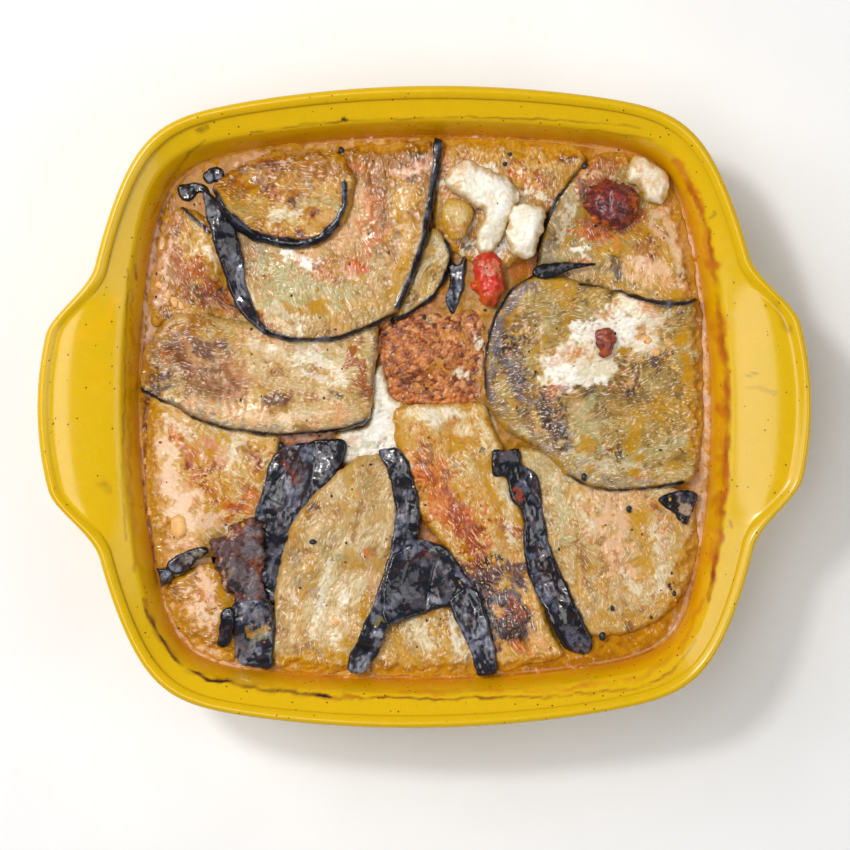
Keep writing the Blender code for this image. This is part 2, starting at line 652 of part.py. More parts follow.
def add_mince(filling_piece, filling, covered, groups):
    """Grains of mince on the filling where it lies bare."""
    rng = random.Random(11)
    patch = smooth_outline(MINCE_PATCH, 0.003)
    low = patch.min(axis=0)
    high = patch.max(axis=0)
    taken = np.zeros(SAMPLE_X.shape, bool)
    for mask in covered.values():
        taken |= mask
    occupied = np.column_stack((SAMPLE_X[taken], SAMPLE_Y[taken]))
    grains = []
    tries = 0
    while len(grains) < MINCE_GRAINS and tries < 900:
        tries += 1
        x = rng.uniform(low[0], high[0])
        y = rng.uniform(low[1], high[1])
        radius = rng.uniform(*MINCE_GRAIN_RADIUS)
        if not reaches(patch, np.array([x]), np.array([y]), 0.0)[0]:
            continue
        if np.hypot(occupied[:, 0] - x, occupied[:, 1] - y).min() < radius + 0.0006:
            continue
        if any(math.hypot(x - c[0], y - c[1]) < 0.8 * (radius + r) for c, r in grains):
            continue
        height = surface_height(filling, x, y) + 0.2 * radius
        grains.append(((x, y, height), radius))
    fuse_grains(filling_piece, grains, groups)
    filling_piece.data.materials.append(make_material("browned_mince", (0.40, 0.11, 0.025), 0.42))


def main():
    clear_scene()
    groups = {"food": new_collection("moussaka"), "cutters": new_collection("cutters")}
    build_dish(groups["food"])
    build_juice(groups["food"])
    build_food(groups)
    bpy.data.collections.remove(groups["cutters"])


main()
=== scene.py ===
"""Looks of the moussaka in its baking dish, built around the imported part.

Lengths are in metres. Places on the food are given on the plan drawing: x to the
right, y down, one unit is UNIT metres at the height of the food.
"""

import math
import random

import bmesh
import bpy
import numpy as np
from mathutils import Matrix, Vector, geometry
from mathutils.bvhtree import BVHTree


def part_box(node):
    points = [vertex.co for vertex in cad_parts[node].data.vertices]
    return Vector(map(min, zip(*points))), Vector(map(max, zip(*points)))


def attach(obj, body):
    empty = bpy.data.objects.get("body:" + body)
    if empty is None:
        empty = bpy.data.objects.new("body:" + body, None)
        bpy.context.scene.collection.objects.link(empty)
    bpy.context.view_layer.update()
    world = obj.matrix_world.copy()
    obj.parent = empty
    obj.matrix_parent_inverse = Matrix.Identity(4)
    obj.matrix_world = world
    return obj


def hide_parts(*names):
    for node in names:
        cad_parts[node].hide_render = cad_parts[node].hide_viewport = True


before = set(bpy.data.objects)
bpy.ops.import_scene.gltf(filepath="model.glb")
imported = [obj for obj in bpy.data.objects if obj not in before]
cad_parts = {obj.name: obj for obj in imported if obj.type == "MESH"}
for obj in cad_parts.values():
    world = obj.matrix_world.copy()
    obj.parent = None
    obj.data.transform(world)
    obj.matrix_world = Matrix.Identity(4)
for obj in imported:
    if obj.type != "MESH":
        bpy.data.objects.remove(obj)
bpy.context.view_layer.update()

# Eye point over the dish, and the plan drawing that it sees
EYE = (0.0001, -0.0068, 0.9650)
VIEW_WIDTH = 0.3185
RIM_HEIGHT = 0.0650
SHEET_TURN = 0.0157
SHEET_MIDDLE = 425.0
SHEET_SIZE = 850
FOOD_PLANE = 0.0507
UNIT = VIEW_WIDTH / SHEET_SIZE * (EYE[2] - FOOD_PLANE) / (EYE[2] - RIM_HEIGHT)

# Dish sizes, as in the solid
HALF_WIDTH = 0.1300
HALF_LENGTH = 0.1207
RIM_SHAPE = (0.2170, 0.4330, 14.0)
WELL_SHAPE = (0.3300, 0.5000, 12.0)
WELL_HALF_WIDTH = 0.1150
WELL_HALF_LENGTH = 0.1088
HANDLE_REACH = 0.0155
HANDLE_BOW_RADIUS = 0.2700
HANDLE_FLANK_START = 0.0290
HANDLE_FLANK_END = 0.0555
DISH_POINTS = 840
STAIN_STEP = 0.0007
EDGE_MARGIN = 0.0002

# Juice sizes, and the wall that it laps against
JUICE_LEVEL = 0.0440
JUICE_POINTS = 1200
JUICE_HALF_WIDTH = 0.10980
JUICE_HALF_LENGTH = 0.10440
MENISCUS_HEIGHT = 0.0010
MENISCUS_WIDTH = 0.0011
SHORE_HALF_WIDTH = 0.10955
SHORE_HALF_LENGTH = 0.10415
REACH_POINTS = 720

# Food sizes: a rim under THIN_RIM is rounded off as a quarter circle, a wider one flatter
THIN_RIM = 0.0020
FINE_STEP = 0.00046
CORE_STEP = 0.0011
OUTLINE_STEP = 0.0014
OUTLINE_GRAIN = 0.0060
SURVEY_STEP = 0.0020
LUMP_SURVEY_STEP = 0.0012
SURVEY_MARGIN = 0.0060
FOOD_HALF_WIDTH = 0.1086
FOOD_HALF_LENGTH = 0.1032
EDGE_SHARE = 0.40
LEAST_THICKNESS = 0.0004
SOAKED_RISE = 0.00025
SOAK_REACH = 0.0064
SLICE_SINK = 0.0004
LUMP_SINK = 0.0012
SKIRT_INSET = 0.0003
CAP_STEP = 0.0045
CAP_INSET = 0.0022
CAP_RISE = 0.0001
WELD_GAP = 1e-7
PATCH_THICKNESS = 0.0016
RAY_START = 0.1
DOWN = Vector((0.0, 0.0, -1.0))
UP = Vector((0.0, 0.0, 1.0))

# Colours of each look in 0 to 255, from its darkest tone to its lightest
RAMPS = {
    "golden": ((-1.1, (46, 24, 16)), (-0.75, (98, 52, 18)), (-0.4, (162, 94, 18)),
               (0.0, (190, 136, 30)), (0.35, (206, 164, 84)), (0.7, (224, 194, 140)),
               (1.1, (244, 232, 206))),
    "pale": ((-1.1, (84, 52, 26)), (-0.6, (146, 98, 40)), (-0.2, (176, 134, 66)),
             (0.1, (192, 158, 98)), (0.4, (204, 176, 124)), (0.8, (222, 202, 162)),
             (1.1, (242, 232, 212))),
    "olive": ((-1.1, (40, 30, 26)), (-0.7, (88, 62, 34)), (-0.35, (134, 98, 40)),
              (0.0, (166, 134, 62)), (0.35, (184, 158, 98)), (0.7, (206, 186, 140)),
              (1.1, (240, 230, 208))),
    "seared": ((-1.1, (56, 24, 16)), (-0.7, (118, 52, 16)), (-0.35, (174, 92, 16)),
               (0.0, (196, 136, 40)), (0.35, (210, 168, 94)), (0.7, (224, 198, 146)),
               (1.1, (244, 232, 208))),
    "amber": ((-1.1, (112, 60, 8)), (-0.6, (150, 92, 6)), (-0.2, (176, 116, 6)),
              (0.2, (192, 134, 12)), (0.6, (204, 152, 52)), (1.1, (220, 180, 130))),
    # The skin's lighter greys are its painted sheen.
    "skin": ((-1.0, (5, 5, 8)), (-0.3, (14, 15, 22)), (0.2, (32, 34, 46)),
             (0.6, (84, 87, 104)), (1.1, (140, 140, 150))),
    "charred": ((-1.0, (18, 11, 12)), (-0.3, (48, 27, 25)), (0.2, (84, 50, 46)),
                (0.6, (122, 76, 62)), (1.1, (160, 118, 92))),
    "cheese": ((-1.1, (178, 140, 86)), (-0.5, (214, 192, 146)), (0.0, (230, 218, 190)),
               (0.5, (240, 233, 214)), (1.0, (250, 246, 238))),
    "mince": ((-1.0, (78, 34, 14)), (-0.4, (134, 66, 24)), (0.0, (174, 94, 36)),
              (0.45, (204, 126, 56)), (1.0, (232, 172, 112))),
    "tomato": ((-1.0, (120, 34, 12)), (-0.3, (176, 50, 20)), (0.1, (206, 48, 34)),
               (0.5, (220, 76, 48)), (1.0, (236, 140, 92))),
    "browned": ((-1.0, (36, 12, 18)), (-0.3, (72, 28, 34)), (0.2, (108, 44, 44)),
                (0.6, (150, 70, 44)), (1.0, (200, 120, 60))),
}

# Colours of marks
COLOURS = {
    "white": (246, 240, 226), "cream": (236, 226, 196), "flesh": (216, 186, 116),
    "gold": (200, 150, 52), "amber": (190, 138, 8), "orange": (200, 102, 18),
    "rust": (152, 64, 18), "brown": (96, 48, 22), "umber": (56, 30, 22),
    # Slate is the grey of painted sheen, mostly on skins, and of painted shade beside rinds.
    "purple": (88, 60, 62), "slate": (104, 100, 106), "black": (16, 16, 22),
    # Pink and peach are in places the food's own colour and elsewhere painted reflections of the light on
    # wet patches.
    "pink": (216, 160, 134), "peach": (222, 166, 112), "olive": (146, 132, 70),
    "green": (172, 164, 112), "grey": (150, 138, 116), "red": (204, 60, 42),
    # Gleam is the colour of painted highlights.
    "dishyellow": (219, 177, 2), "ochre": (240, 180, 2), "gleam": (228, 198, 170),
    # The first of these, a pale peach, is the painted reflection of the light on thin wet pools.
    "painted_reflection": (226, 188, 150), "deep": (152, 94, 0),
}


# Numbers

def smooth_step(value):
    value = np.clip(value, 0.0, 1.0)
    return value * value * (3.0 - 2.0 * value)


def hashed(i, j, seed):
    """Even random numbers from 0 to 1 for whole-number places."""
    code = (i * 374761393 + j * 668265263 + seed * 362437) & 0xFFFFFFFF
    code = ((code ^ (code >> 13)) * 1274126177) & 0xFFFFFFFF
    return ((code ^ (code >> 16)) & 0xFFFFFFFF) / 4294967296.0


def noise(x, y, seed):
    """Smooth noise between about -1 and 1 with a grain of one."""
    i = np.floor(x).astype(np.int64)
    j = np.floor(y).astype(np.int64)
    across = x - i
    up = y - j
    total = np.zeros(np.shape(x))
    for di in (0, 1):
        for dj in (0, 1):
            turn = math.tau * hashed(i + di, j + dj, seed)
            slope = np.cos(turn) * (across - di) + np.sin(turn) * (up - dj)
            share = smooth_step(1.0 - np.abs(across - di)) * smooth_step(1.0 - np.abs(up - dj))
            total += slope * share
    return 1.6 * total


def fractal(x, y, size, seed, octaves=4):
    """Sum of noises, each half the size and a little over half the strength."""
    total = np.zeros(np.shape(x))
    share = 1.0
    for octave in range(octaves):
        total += share * noise(x / size + 5.3 * octave, y / size - 3.7 * octave, seed + octave)
        size *= 0.5
        share *= 0.55
    return total / 1.4


def cells(x, y, size, seed):
    """Distance to the nearest and the second cell centre, and the cell's own number."""
    x = x / size
    y = y / size
    i = np.floor(x).astype(np.int64)
    j = np.floor(y).astype(np.int64)
    first = np.full(np.shape(x), 9.0)
    second = np.full(np.shape(x), 9.0)
    number = np.zeros(np.shape(x))
    for di in (-1, 0, 1):
        for dj in (-1, 0, 1):
            ci = i + di
            cj = j + dj
            gap = np.hypot(ci + hashed(ci, cj, seed) - x, cj + hashed(ci, cj, seed + 1) - y)
            nearer = gap < first
            second = np.where(nearer, first, np.minimum(second, gap))
            number = np.where(nearer, hashed(ci, cj, seed + 2), number)
            first = np.minimum(first, gap)
    return first, second, number


def linear(colour):
    """Shader colour of a colour given in 0 to 255."""
    share = np.array(colour, float) / 255.0
    return np.where(share <= 0.04045, share / 12.92, ((share + 0.055) / 1.055) ** 2.4)


def ramp_colour(name, tone):
    stops = RAMPS[name]
    places = [place for place, _colour in stops]
    colours = np.array([linear(colour) for _place, colour in stops])
    return np.column_stack([np.interp(tone, places, colours[:, band]) for band in range(3)])


# Plan drawing

def to_sheet(x, y, z):
    """Place on the plan drawing of a point in metres."""
    unit = VIEW_WIDTH / SHEET_SIZE * (EYE[2] - z) / (EYE[2] - RIM_HEIGHT)
    px = (x - EYE[0]) / unit
    py = (EYE[1] - y) / unit
    u = SHEET_MIDDLE + px * math.cos(SHEET_TURN) + py * math.sin(SHEET_TURN)
    v = SHEET_MIDDLE - px * math.sin(SHEET_TURN) + py * math.cos(SHEET_TURN)
    return u, v


def on_plan(u, v):
    """Point in metres, at the height of the food, of a place on the plan drawing."""
    across = u - SHEET_MIDDLE
    down = v - SHEET_MIDDLE
    x = across * math.cos(SHEET_TURN) - down * math.sin(SHEET_TURN)
    y = across * math.sin(SHEET_TURN) + down * math.cos(SHEET_TURN)
    return EYE[0] + x * UNIT, EYE[1] - y * UNIT


def path_distance(u, v, points):
    """Distance from each point to a path of straight pieces, or to a single place."""
    nearest = np.full(np.shape(u), 1e9)
    pairs = list(zip(points, points[1:])) or [(points[0], points[0])]
    for (ax, ay), (bx, by) in pairs:
        length = max((bx - ax) ** 2 + (by - ay) ** 2, 1e-9)
        share = np.clip(((u - ax) * (bx - ax) + (v - ay) * (by - ay)) / length, 0.0, 1.0)
        gap = np.hypot(u - ax - share * (bx - ax), v - ay - share * (by - ay))
        nearest = np.minimum(nearest, gap)
    return nearest


# Dish outlines

def outline(half_width, half_length, shape=RIM_SHAPE, handle=0.0, count=DISH_POINTS):
    """Square with bowed sides and round corners, widened at Y = 0 by the handles."""
    side_bow, end_bow, power = shape
    angles = np.arange(count) * math.tau / count
    cosines = np.cos(angles)
    sines = np.sin(angles)
    radius = np.full(count, half_width)
    for _ in range(24):
        across = half_width - (radius * sines) ** 2 / (2.0 * side_bow)
        along = half_length - (radius * cosines) ** 2 / (2.0 * end_bow)
        total = np.abs(cosines / across) ** power + np.abs(sines / along) ** power
        radius = total ** (-1.0 / power)
    x = radius * cosines
    y = radius * sines
    reach = HANDLE_REACH - y ** 2 / (2.0 * HANDLE_BOW_RADIUS)
    x = x + np.sign(cosines) * handle * reach * handle_weight(x, y)
    return np.column_stack((x, y))


def handle_weight(x, y):
    """1 over the middle of a handle, 0 on the plain rim."""
    flank = (np.abs(y) - HANDLE_FLANK_START) / (HANDLE_FLANK_END - HANDLE_FLANK_START)
    return (1.0 - smooth_step(flank)) * (np.abs(x) > 0.6 * HALF_WIDTH)


def reach_table(half_width, half_length):
    """Distances from the middle to an outline of the well, at even angles."""
    points = outline(half_width, half_length, WELL_SHAPE, count=REACH_POINTS)
    return np.linalg.norm(points, axis=1)


def reach_at(table, x, y):
    """Distance from the middle to that outline, in the direction of each point."""
    degrees = np.degrees(np.arctan2(y, x)) % 360.0
    return table[np.round(degrees * REACH_POINTS / 360.0).astype(int) % REACH_POINTS]


FOOD_REACH = reach_table(FOOD_HALF_WIDTH, FOOD_HALF_LENGTH)
SHORE_REACH = reach_table(SHORE_HALF_WIDTH, SHORE_HALF_LENGTH)
EDGE_REACH = reach_table(WELL_HALF_WIDTH, WELL_HALF_LENGTH)


def ring(points, height):
    heights = np.broadcast_to(height, len(points))
    return np.column_stack((points, heights))


# Meshes

def mesh_object(name, points, faces, colours=None, dull=None, weave=None):
    mesh = bpy.data.meshes.new(name)
    mesh.from_pydata([tuple(point) for point in points], [], faces)
    mesh.update()
    item = bpy.data.objects.new(name, mesh)
    bpy.context.scene.collection.objects.link(item)
    mesh.shade_smooth()
    if colours is not None:
        paint = mesh.attributes.new("paint", "FLOAT_COLOR", "POINT")
        paint.data.foreach_set("color", np.column_stack((colours, np.ones(len(colours)))).ravel())
        finish = mesh.attributes.new("dull", "FLOAT", "POINT")
        finish.data.foreach_set("value", np.asarray(dull, float))
    if weave is not None:
        threads = mesh.attributes.new("weave", "FLOAT_VECTOR", "POINT")
        threads.data.foreach_set("vector", np.asarray(weave, float).ravel())
    return item


def survey(node, step, passes):
    """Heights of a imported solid's top and underside on a grid that reaches past it."""
    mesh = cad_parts[node].data
    corners = [vertex.co.copy() for vertex in mesh.vertices]
    tree = BVHTree.FromPolygons(corners, [tuple(face.vertices) for face in mesh.polygons])
    low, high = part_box(node)
    xs = np.arange(low.x - SURVEY_MARGIN, high.x + SURVEY_MARGIN, step)
    ys = np.arange(low.y - SURVEY_MARGIN, high.y + SURVEY_MARGIN, step)
    top = np.full((len(xs), len(ys)), np.nan)
    base = top.copy()
    for i, x in enumerate(xs):
        for j, y in enumerate(ys):
            hit = tree.ray_cast(Vector((x, y, RAY_START)), DOWN)[0]
            if hit:
                top[i, j] = hit.z
                base[i, j] = tree.ray_cast(Vector((x, y, -RAY_START)), UP)[0].z
    return {"start": (xs[0], ys[0]), "step": step,
            "top": spread(top, passes), "base": spread(base, passes)}


def spread(field, passes):
    """Fill a grid's gaps from their neighbours and smooth it."""
    while np.isnan(field).any():
        padded = np.pad(field, 1, constant_values=np.nan)
        around = [padded[1 + di:padded.shape[0] - 1 + di, 1 + dj:padded.shape[1] - 1 + dj]
                  for di in (-1, 0, 1) for dj in (-1, 0, 1)]
        known = sum(np.nan_to_num(part) for part in around)
        count = sum(~np.isnan(part) for part in around)
        filled = np.where(count > 0, known / np.maximum(count, 1), np.nan)
        field = np.where(np.isnan(field), filled, field)
    for _ in range(passes):
        padded = np.pad(field, 1, mode="edge")
        field = (padded[:-2, 1:-1] + padded[2:, 1:-1] + padded[1:-1, :-2]
                 + padded[1:-1, 2:] + 2.0 * field) / 6.0
    return field


def read_field(grid, key, x, y):
    """Height of a surveyed grid at any points."""
    field = grid[key]
    across = np.clip((x - grid["start"][0]) / grid["step"], 0.0, field.shape[0] - 1.001)
    up = np.clip((y - grid["start"][1]) / grid["step"], 0.0, field.shape[1] - 1.001)
    i = across.astype(int)
    j = up.astype(int)
    s = across - i
    t = up - j
    return (field[i, j] * (1 - s) * (1 - t) + field[i + 1, j] * s * (1 - t)
            + field[i, j + 1] * (1 - s) * t + field[i + 1, j + 1] * s * t)


def smooth_outline(points):
    """Closed curve through the drawing's points, kept off the dish wall."""
    plan = np.array([on_plan(u, v) for u, v in points])
    before = np.roll(plan, 1, axis=0)
    after = np.roll(plan, -1, axis=0)
    beyond = np.roll(plan, -2, axis=0)
    curve = []
    for step in np.linspace(0.0, 1.0, 16, endpoint=False):
        blend = (2.0 * plan + (after - before) * step
                 + (2.0 * before - 5.0 * plan + 4.0 * after - beyond) * step ** 2
                 + (3.0 * plan - before - 3.0 * after + beyond) * step ** 3) / 2.0
        curve.append(blend)
    dense = np.stack(curve, axis=1).reshape(-1, 2)
    limit = reach_at(FOOD_REACH, dense[:, 0], dense[:, 1])
    radius = np.linalg.norm(dense, axis=1)
    dense = dense * np.minimum(1.0, limit / radius)[:, None]
    closed = np.vstack((dense, dense[:1]))
    travelled = np.concatenate(([0.0], np.cumsum(np.linalg.norm(np.diff(closed, axis=0), axis=1))))
    marks = np.arange(0.0, travelled[-1], OUTLINE_STEP)
    return np.column_stack([np.interp(marks, travelled, closed[:, axis]) for axis in (0, 1)])


def wall_gap(x, y):
    """Distance to the dish wall at the level of the juice."""
    return reach_at(SHORE_REACH, x, y) - np.hypot(x, y)


def edge_distance(polygon, x, y):
    """Distance to the outline, positive inside it."""
    inside = np.zeros(x.shape, bool)
    nearest = np.full(x.shape, 1e9)
    for (ax, ay), (bx, by) in zip(polygon, np.roll(polygon, -1, axis=0)):
        crosses = (ay > y) != (by > y)
        slope = (bx - ax) / (by - ay) if by != ay else 0.0
        inside ^= crosses & (x < ax + (y - ay) * slope)
        length = max((bx - ax) ** 2 + (by - ay) ** 2, 1e-14)
        share = np.clip(((x - ax) * (bx - ax) + (y - ay) * (by - ay)) / length, 0.0, 1.0)
        gap = np.hypot(x - ax - share * (bx - ax), y - ay - share * (by - ay))
        nearest = np.minimum(nearest, gap)
    return np.where(inside, nearest, -nearest)


# Surfaces

class Surface:
    """Tone, colour, dullness and relief of the points of one piece."""

    def __init__(self, x, y, edge, seed):
        self.u, self.v = to_sheet(x, y, FOOD_PLANE)
        self.edge = edge / UNIT
        self.seed = seed
        self.tone = np.zeros(len(x))
        self.colour = np.zeros((len(x), 3))
        self.dull = np.full(len(x), 0.26)
        self.lift = np.zeros(len(x))
        self.calm = np.zeros(len(x))
        self.rinded = np.zeros(len(x))
        self.texture = fractal(self.u, self.v, 5.0, seed + 90, 3)
        lap = 0.5 * fractal(self.u, self.v, 14.0, 66, 3)
        self.shore = smooth_step(1.25 - wall_gap(x, y) / SOAK_REACH + 1.4 * lap)
        self.pool = np.zeros(len(x))
        self.green = np.zeros(len(x))
        self.wander = 4.0
        self.amber = 0.8
        self.drifts = {}
        self.weave = np.column_stack((self.u, self.v, np.full(len(x), 7.0 * seed)))

    def near(self, points, width, ragged=0.45):
        """1 along a path that wanders, falling to 0 at about width from it."""
        drift_u, drift_v = self.drift(max(1.4 * width, self.wander))
        reach = 3.0 * ragged * width
        gap = path_distance(self.u + reach * drift_u, self.v + reach * drift_v, points)
        return smooth_step((1.1 * width - gap) / (0.9 * width))

    def drift(self, grain):
        """Wandering offsets with a grain of about that size, worked out once."""
        level = round(2.0 * math.log2(grain))
        if level not in self.drifts:
            size = 2.0 ** (level / 2.0)
            self.drifts[level] = [fractal(self.u, self.v, size, self.seed + number, 4)
                                  for number in (31, 32)]
        return self.drifts[level]

    def mix(self, colour, weight):
        weight = np.clip(weight, 0.0, 1.0)[:, None]
        self.colour += (linear(COLOURS[colour]) - self.colour) * weight

    def apply(self, marks):
        """Marks on the plan: what, how strong, how wide, and where."""
        for what, strength, width, points in marks:
            if what == "tone":
                self.tone += strength * self.near(points, width)
            elif what == "lift":
                self.lift += strength * self.near(points, width, 0.2)
        self.colour = ramp_colour(self.ramp, self.tone)
        self.mix("green", self.green * (1.0 - self.pool))
        self.mix("amber", self.amber * self.pool)
        for what, strength, width, points in marks:
            if what in COLOURS:
                near = self.near(points, 1.12 * width)
                torn = 1.6 * self.texture * min(1.0, width / 4.0, 18.0 / width)
                weight = smooth_step(1.5 * near - 0.3 + torn) * smooth_step(3.0 * near)
                self.mix(what, strength * weight)
            elif what == "film":
                self.film(self.near(points, width, 0.6), strength)
            elif what == "rind":
                self.rind(points, width)

    def rind(self, points, width):
        """Strip of dark skin that stands a little proud."""
        wide = width * (1.0 + 0.35 * fractal(self.u, self.v, 34.0, self.seed + 42, 2))
        gap = path_distance(self.u, self.v, points)
        gap = gap + 0.12 * wide * fractal(self.u, self.v, 14.0, self.seed + 40, 3)
        self.mix("umber", 0.45 * smooth_step((0.5 * wide + 3.5 - gap) / 3.5))
        weight = smooth_step((0.55 * wide + 0.5 - gap) / 1.1)
        # Random tones over the skin's colours, whose lighter greys are painted sheen.
        tone = 0.9 * fractal(self.u, self.v, 15.0, self.seed + 44, 4)
        colour = ramp_colour("skin", tone)
        self.colour += (colour - self.colour) * weight[:, None]
        bulge = np.sqrt(np.clip(1.0 - (gap / (0.66 * wide)) ** 2, 0.0, 1.0))
        self.lift += weight * (0.15 * wide * bulge + 0.2 * tone - 0.6 * self.lift)
        self.dull += (0.08 - self.dull) * weight
        self.calm *= 1.0 - weight
        self.rinded = np.maximum(self.rinded, weight)

    def soak(self):
        """Juice laps over what lies near the wall."""
        wet = self.shore * (1.0 - self.rinded)
        tone = 0.2 + 0.5 * self.texture
        self.colour += (ramp_colour("amber", tone) - self.colour) * (0.85 * wet)[:, None]
        self.calm = np.maximum(self.calm, 0.85 * wet)

    def film(self, near, strength):
        """Thin pool with a crisp ragged shore that mirrors the light; the reflection is painted pale
        peach.
        """
        shore = 0.8 * fractal(self.u, self.v, 13.0, self.seed + 35, 5)
        weight = smooth_step((1.2 * near + shore * (1.1 - near) - 0.5) * 4.0) * strength
        self.mix("painted_reflection", 0.85 * weight)
        self.calm = np.maximum(self.calm, weight)

    def glint(self, share, size, colour="gleam", strength=0.8):
        """Painted highlights: small crisp flecks where the wet surface catches the light."""
        patch = fractal(self.u, self.v, 20.0, self.seed + 52, 4)
        fleck = fractal(self.weave[:, 0] * 2.0, self.weave[:, 1], size, self.seed + 54, 3)
        weight = smooth_step((fleck + 0.6 * patch - 1.0 + share) * 4.0)
        self.mix(colour, strength * weight * (1.0 - self.rinded))
        self.dull += (0.12 - self.dull) * 0.7 * weight
        self.lift += 0.5 * weight

    def settle(self):
        """Flatten and wet what lies under a thin layer of juice."""
        self.lift *= 1.0 - 0.85 * self.calm
        self.dull += (0.05 - self.dull) * self.calm
        speck = fractal(self.u, self.v, 2.6, self.seed + 60, 2)
        self.colour *= (1.0 + 0.10 * speck * (1.0 - 0.6 * self.calm))[:, None]


# How far browned patches darken the flesh, and the size of the flecks of light on it
SEAR = 0.55
GLINT_GRAIN = 3.4


def turned(u, v, degrees):
    turn = math.radians(degrees)
    return (u * math.cos(turn) + v * math.sin(turn), -u * math.sin(turn) + v * math.cos(turn))


def flesh(surface, grain=0.0, bias=0.1, contrast=1.0, relief=1.0, glints=0.40, amber=0.8):
    """Soft fibrous flesh, drawn out along the grain, with smooth soaked patches."""
    seed = surface.seed
    bend_u = surface.u + 9.0 * fractal(surface.u, surface.v, 34.0, seed + 1, 2)
    bend_v = surface.v + 9.0 * fractal(surface.u, surface.v, 34.0, seed + 2, 2)
    along, across = turned(bend_u, bend_v, grain)
    surface.weave = np.column_stack((along / 3.0, across, np.full(len(along), 7.0 * seed)))
    cloud = fractal(surface.u, surface.v, 46.0, seed, 4)
    strand = fractal(along / 2.6, across, 11.0, seed + 7, 4)
    flake = fractal(along / 1.4, across, 3.2, seed + 13, 3)
    fibre = np.clip(1.0 - 6.0 * np.abs(fractal(along / 3.2, across, 6.0, seed + 19, 2)), 0.0, 1.0)
    coarse = smooth_step(1.6 * fractal(bend_u, bend_v, 26.0, seed + 27, 3) + 0.5)
    pool = smooth_step(2.2 * fractal(bend_u, bend_v, 24.0, seed + 23, 5) - 0.2)
    torn = fractal(surface.u, surface.v, 11.0, seed + 29, 3)
    seep = smooth_step(0.9 - surface.edge / 8.0 + 0.9 * torn)
    surface.pool = np.maximum(0.9 * pool, 0.85 * seep)
    rough = 1.0 - surface.pool
    surface.tone = bias - 0.12 + contrast * (0.42 * cloud + (0.18 + 0.16 * rough) * strand)
    surface.tone += rough * (0.4 + 0.6 * coarse) * (0.34 * contrast * flake + 0.26 * fibre)
    pit = cells(surface.u, surface.v, 8.0, seed + 17)[0]
    surface.tone -= 0.5 * smooth_step((0.20 - pit) / 0.18) * rough
    bristle = (0.4 + 0.6 * coarse) * rough * (1.1 * flake + 0.6 * fibre)
    surface.lift = relief * (1.5 * cloud + 1.1 * strand + bristle - 0.8 * surface.pool)
    surface.dull = 0.16 + 0.07 * strand
    surface.calm = 0.7 * surface.pool
    surface.texture = 0.45 * strand + 0.5 * flake + 0.5 * fractal(bend_u, bend_v, 13.0, seed + 33, 4)
    surface.glints = glints
    browning = fractal(bend_u, bend_v, 20.0, seed + 39, 5)
    surface.tone -= SEAR * (1.0 - 0.5 * surface.pool) * smooth_step(3.0 * browning - 0.5)
    surface.amber = amber
    surface.green = 0.22 * smooth_step(1.5 * fractal(surface.u, surface.v, 38.0, seed + 37, 3) + 0.2)


def skin(surface, grain=0.0, bias=-0.1, relief=1.0, red=0.3):
    """Glossy aubergine skin in broad soft folds with a few sharp creases."""
    along, across = turned(surface.u, surface.v, grain)
    seed = surface.seed
    swell = fractal(along / 1.5, across, 24.0, seed, 2)
    facet = fractal(along / 1.3, across, 11.0, seed + 5, 2)
    crease = np.clip(1.0 - 12.0 * np.abs(fractal(along, across / 2.6, 24.0, seed + 9, 2)), 0.0, 1.0)
    mottle = fractal(surface.u, surface.v, 12.0, seed + 15, 3)
    sheen = smooth_step(3.0 * fractal(along / 1.6, across, 26.0, seed + 25, 3) + 0.2)
    wrinkle = fractal(along / 1.5, across, 5.0, seed + 33, 4)
    dark = smooth_step(3.5 * (wrinkle + 0.7 * mottle) - 0.3)
    # Painted sheen and shade: the tone rises to grey over the sheen patches, less on fine dark wrinkles,
    # and falls in the creases.
    surface.tone = bias - 0.1 + 0.2 * mottle - 0.35 * crease + (0.85 - 0.65 * dark) * sheen
    surface.lift = relief * (2.0 * swell + 0.5 * facet - 0.5 * crease + 0.5 * wrinkle)
    surface.dull = 0.15 + 0.08 * np.abs(mottle) * (1.0 - sheen)
    surface.texture = 0.6 * fractal(surface.u, surface.v, 14.0, seed + 29, 3)
    surface.red = red * smooth_step(fractal(surface.u, surface.v, 12.0, seed + 22, 3) * 2.4 - 0.1)


def cheese(surface, bias):
    """Soft curds, stained amber about the edge."""
    seed = surface.seed
    lump = fractal(surface.u, surface.v, 18.0, seed, 3)
    curd = cells(surface.u, surface.v, 9.0, seed + 5)[0]
    fine = fractal(surface.u, surface.v, 3.4, seed + 9, 3)
    # Painted shade: lighter on raised lumps and curd middles, darker and warmer in the hollows between
    # them.
    surface.tone = bias + 0.35 * lump + 0.15 * (0.5 - curd) + 0.22 * fine
    surface.tone -= 0.9 * smooth_step(1.0 - surface.edge / 5.0 + 1.4 * lump)
    torn = fractal(surface.u, surface.v, 10.0, seed + 15, 4)
    surface.pool = smooth_step(0.9 - surface.edge / 5.0 + 2.2 * torn)
    surface.amber = 0.55
    surface.lift = 1.6 * lump + 0.8 * (0.5 - curd) + 0.8 * fine
    surface.dull = 0.20 + 0.08 * fine


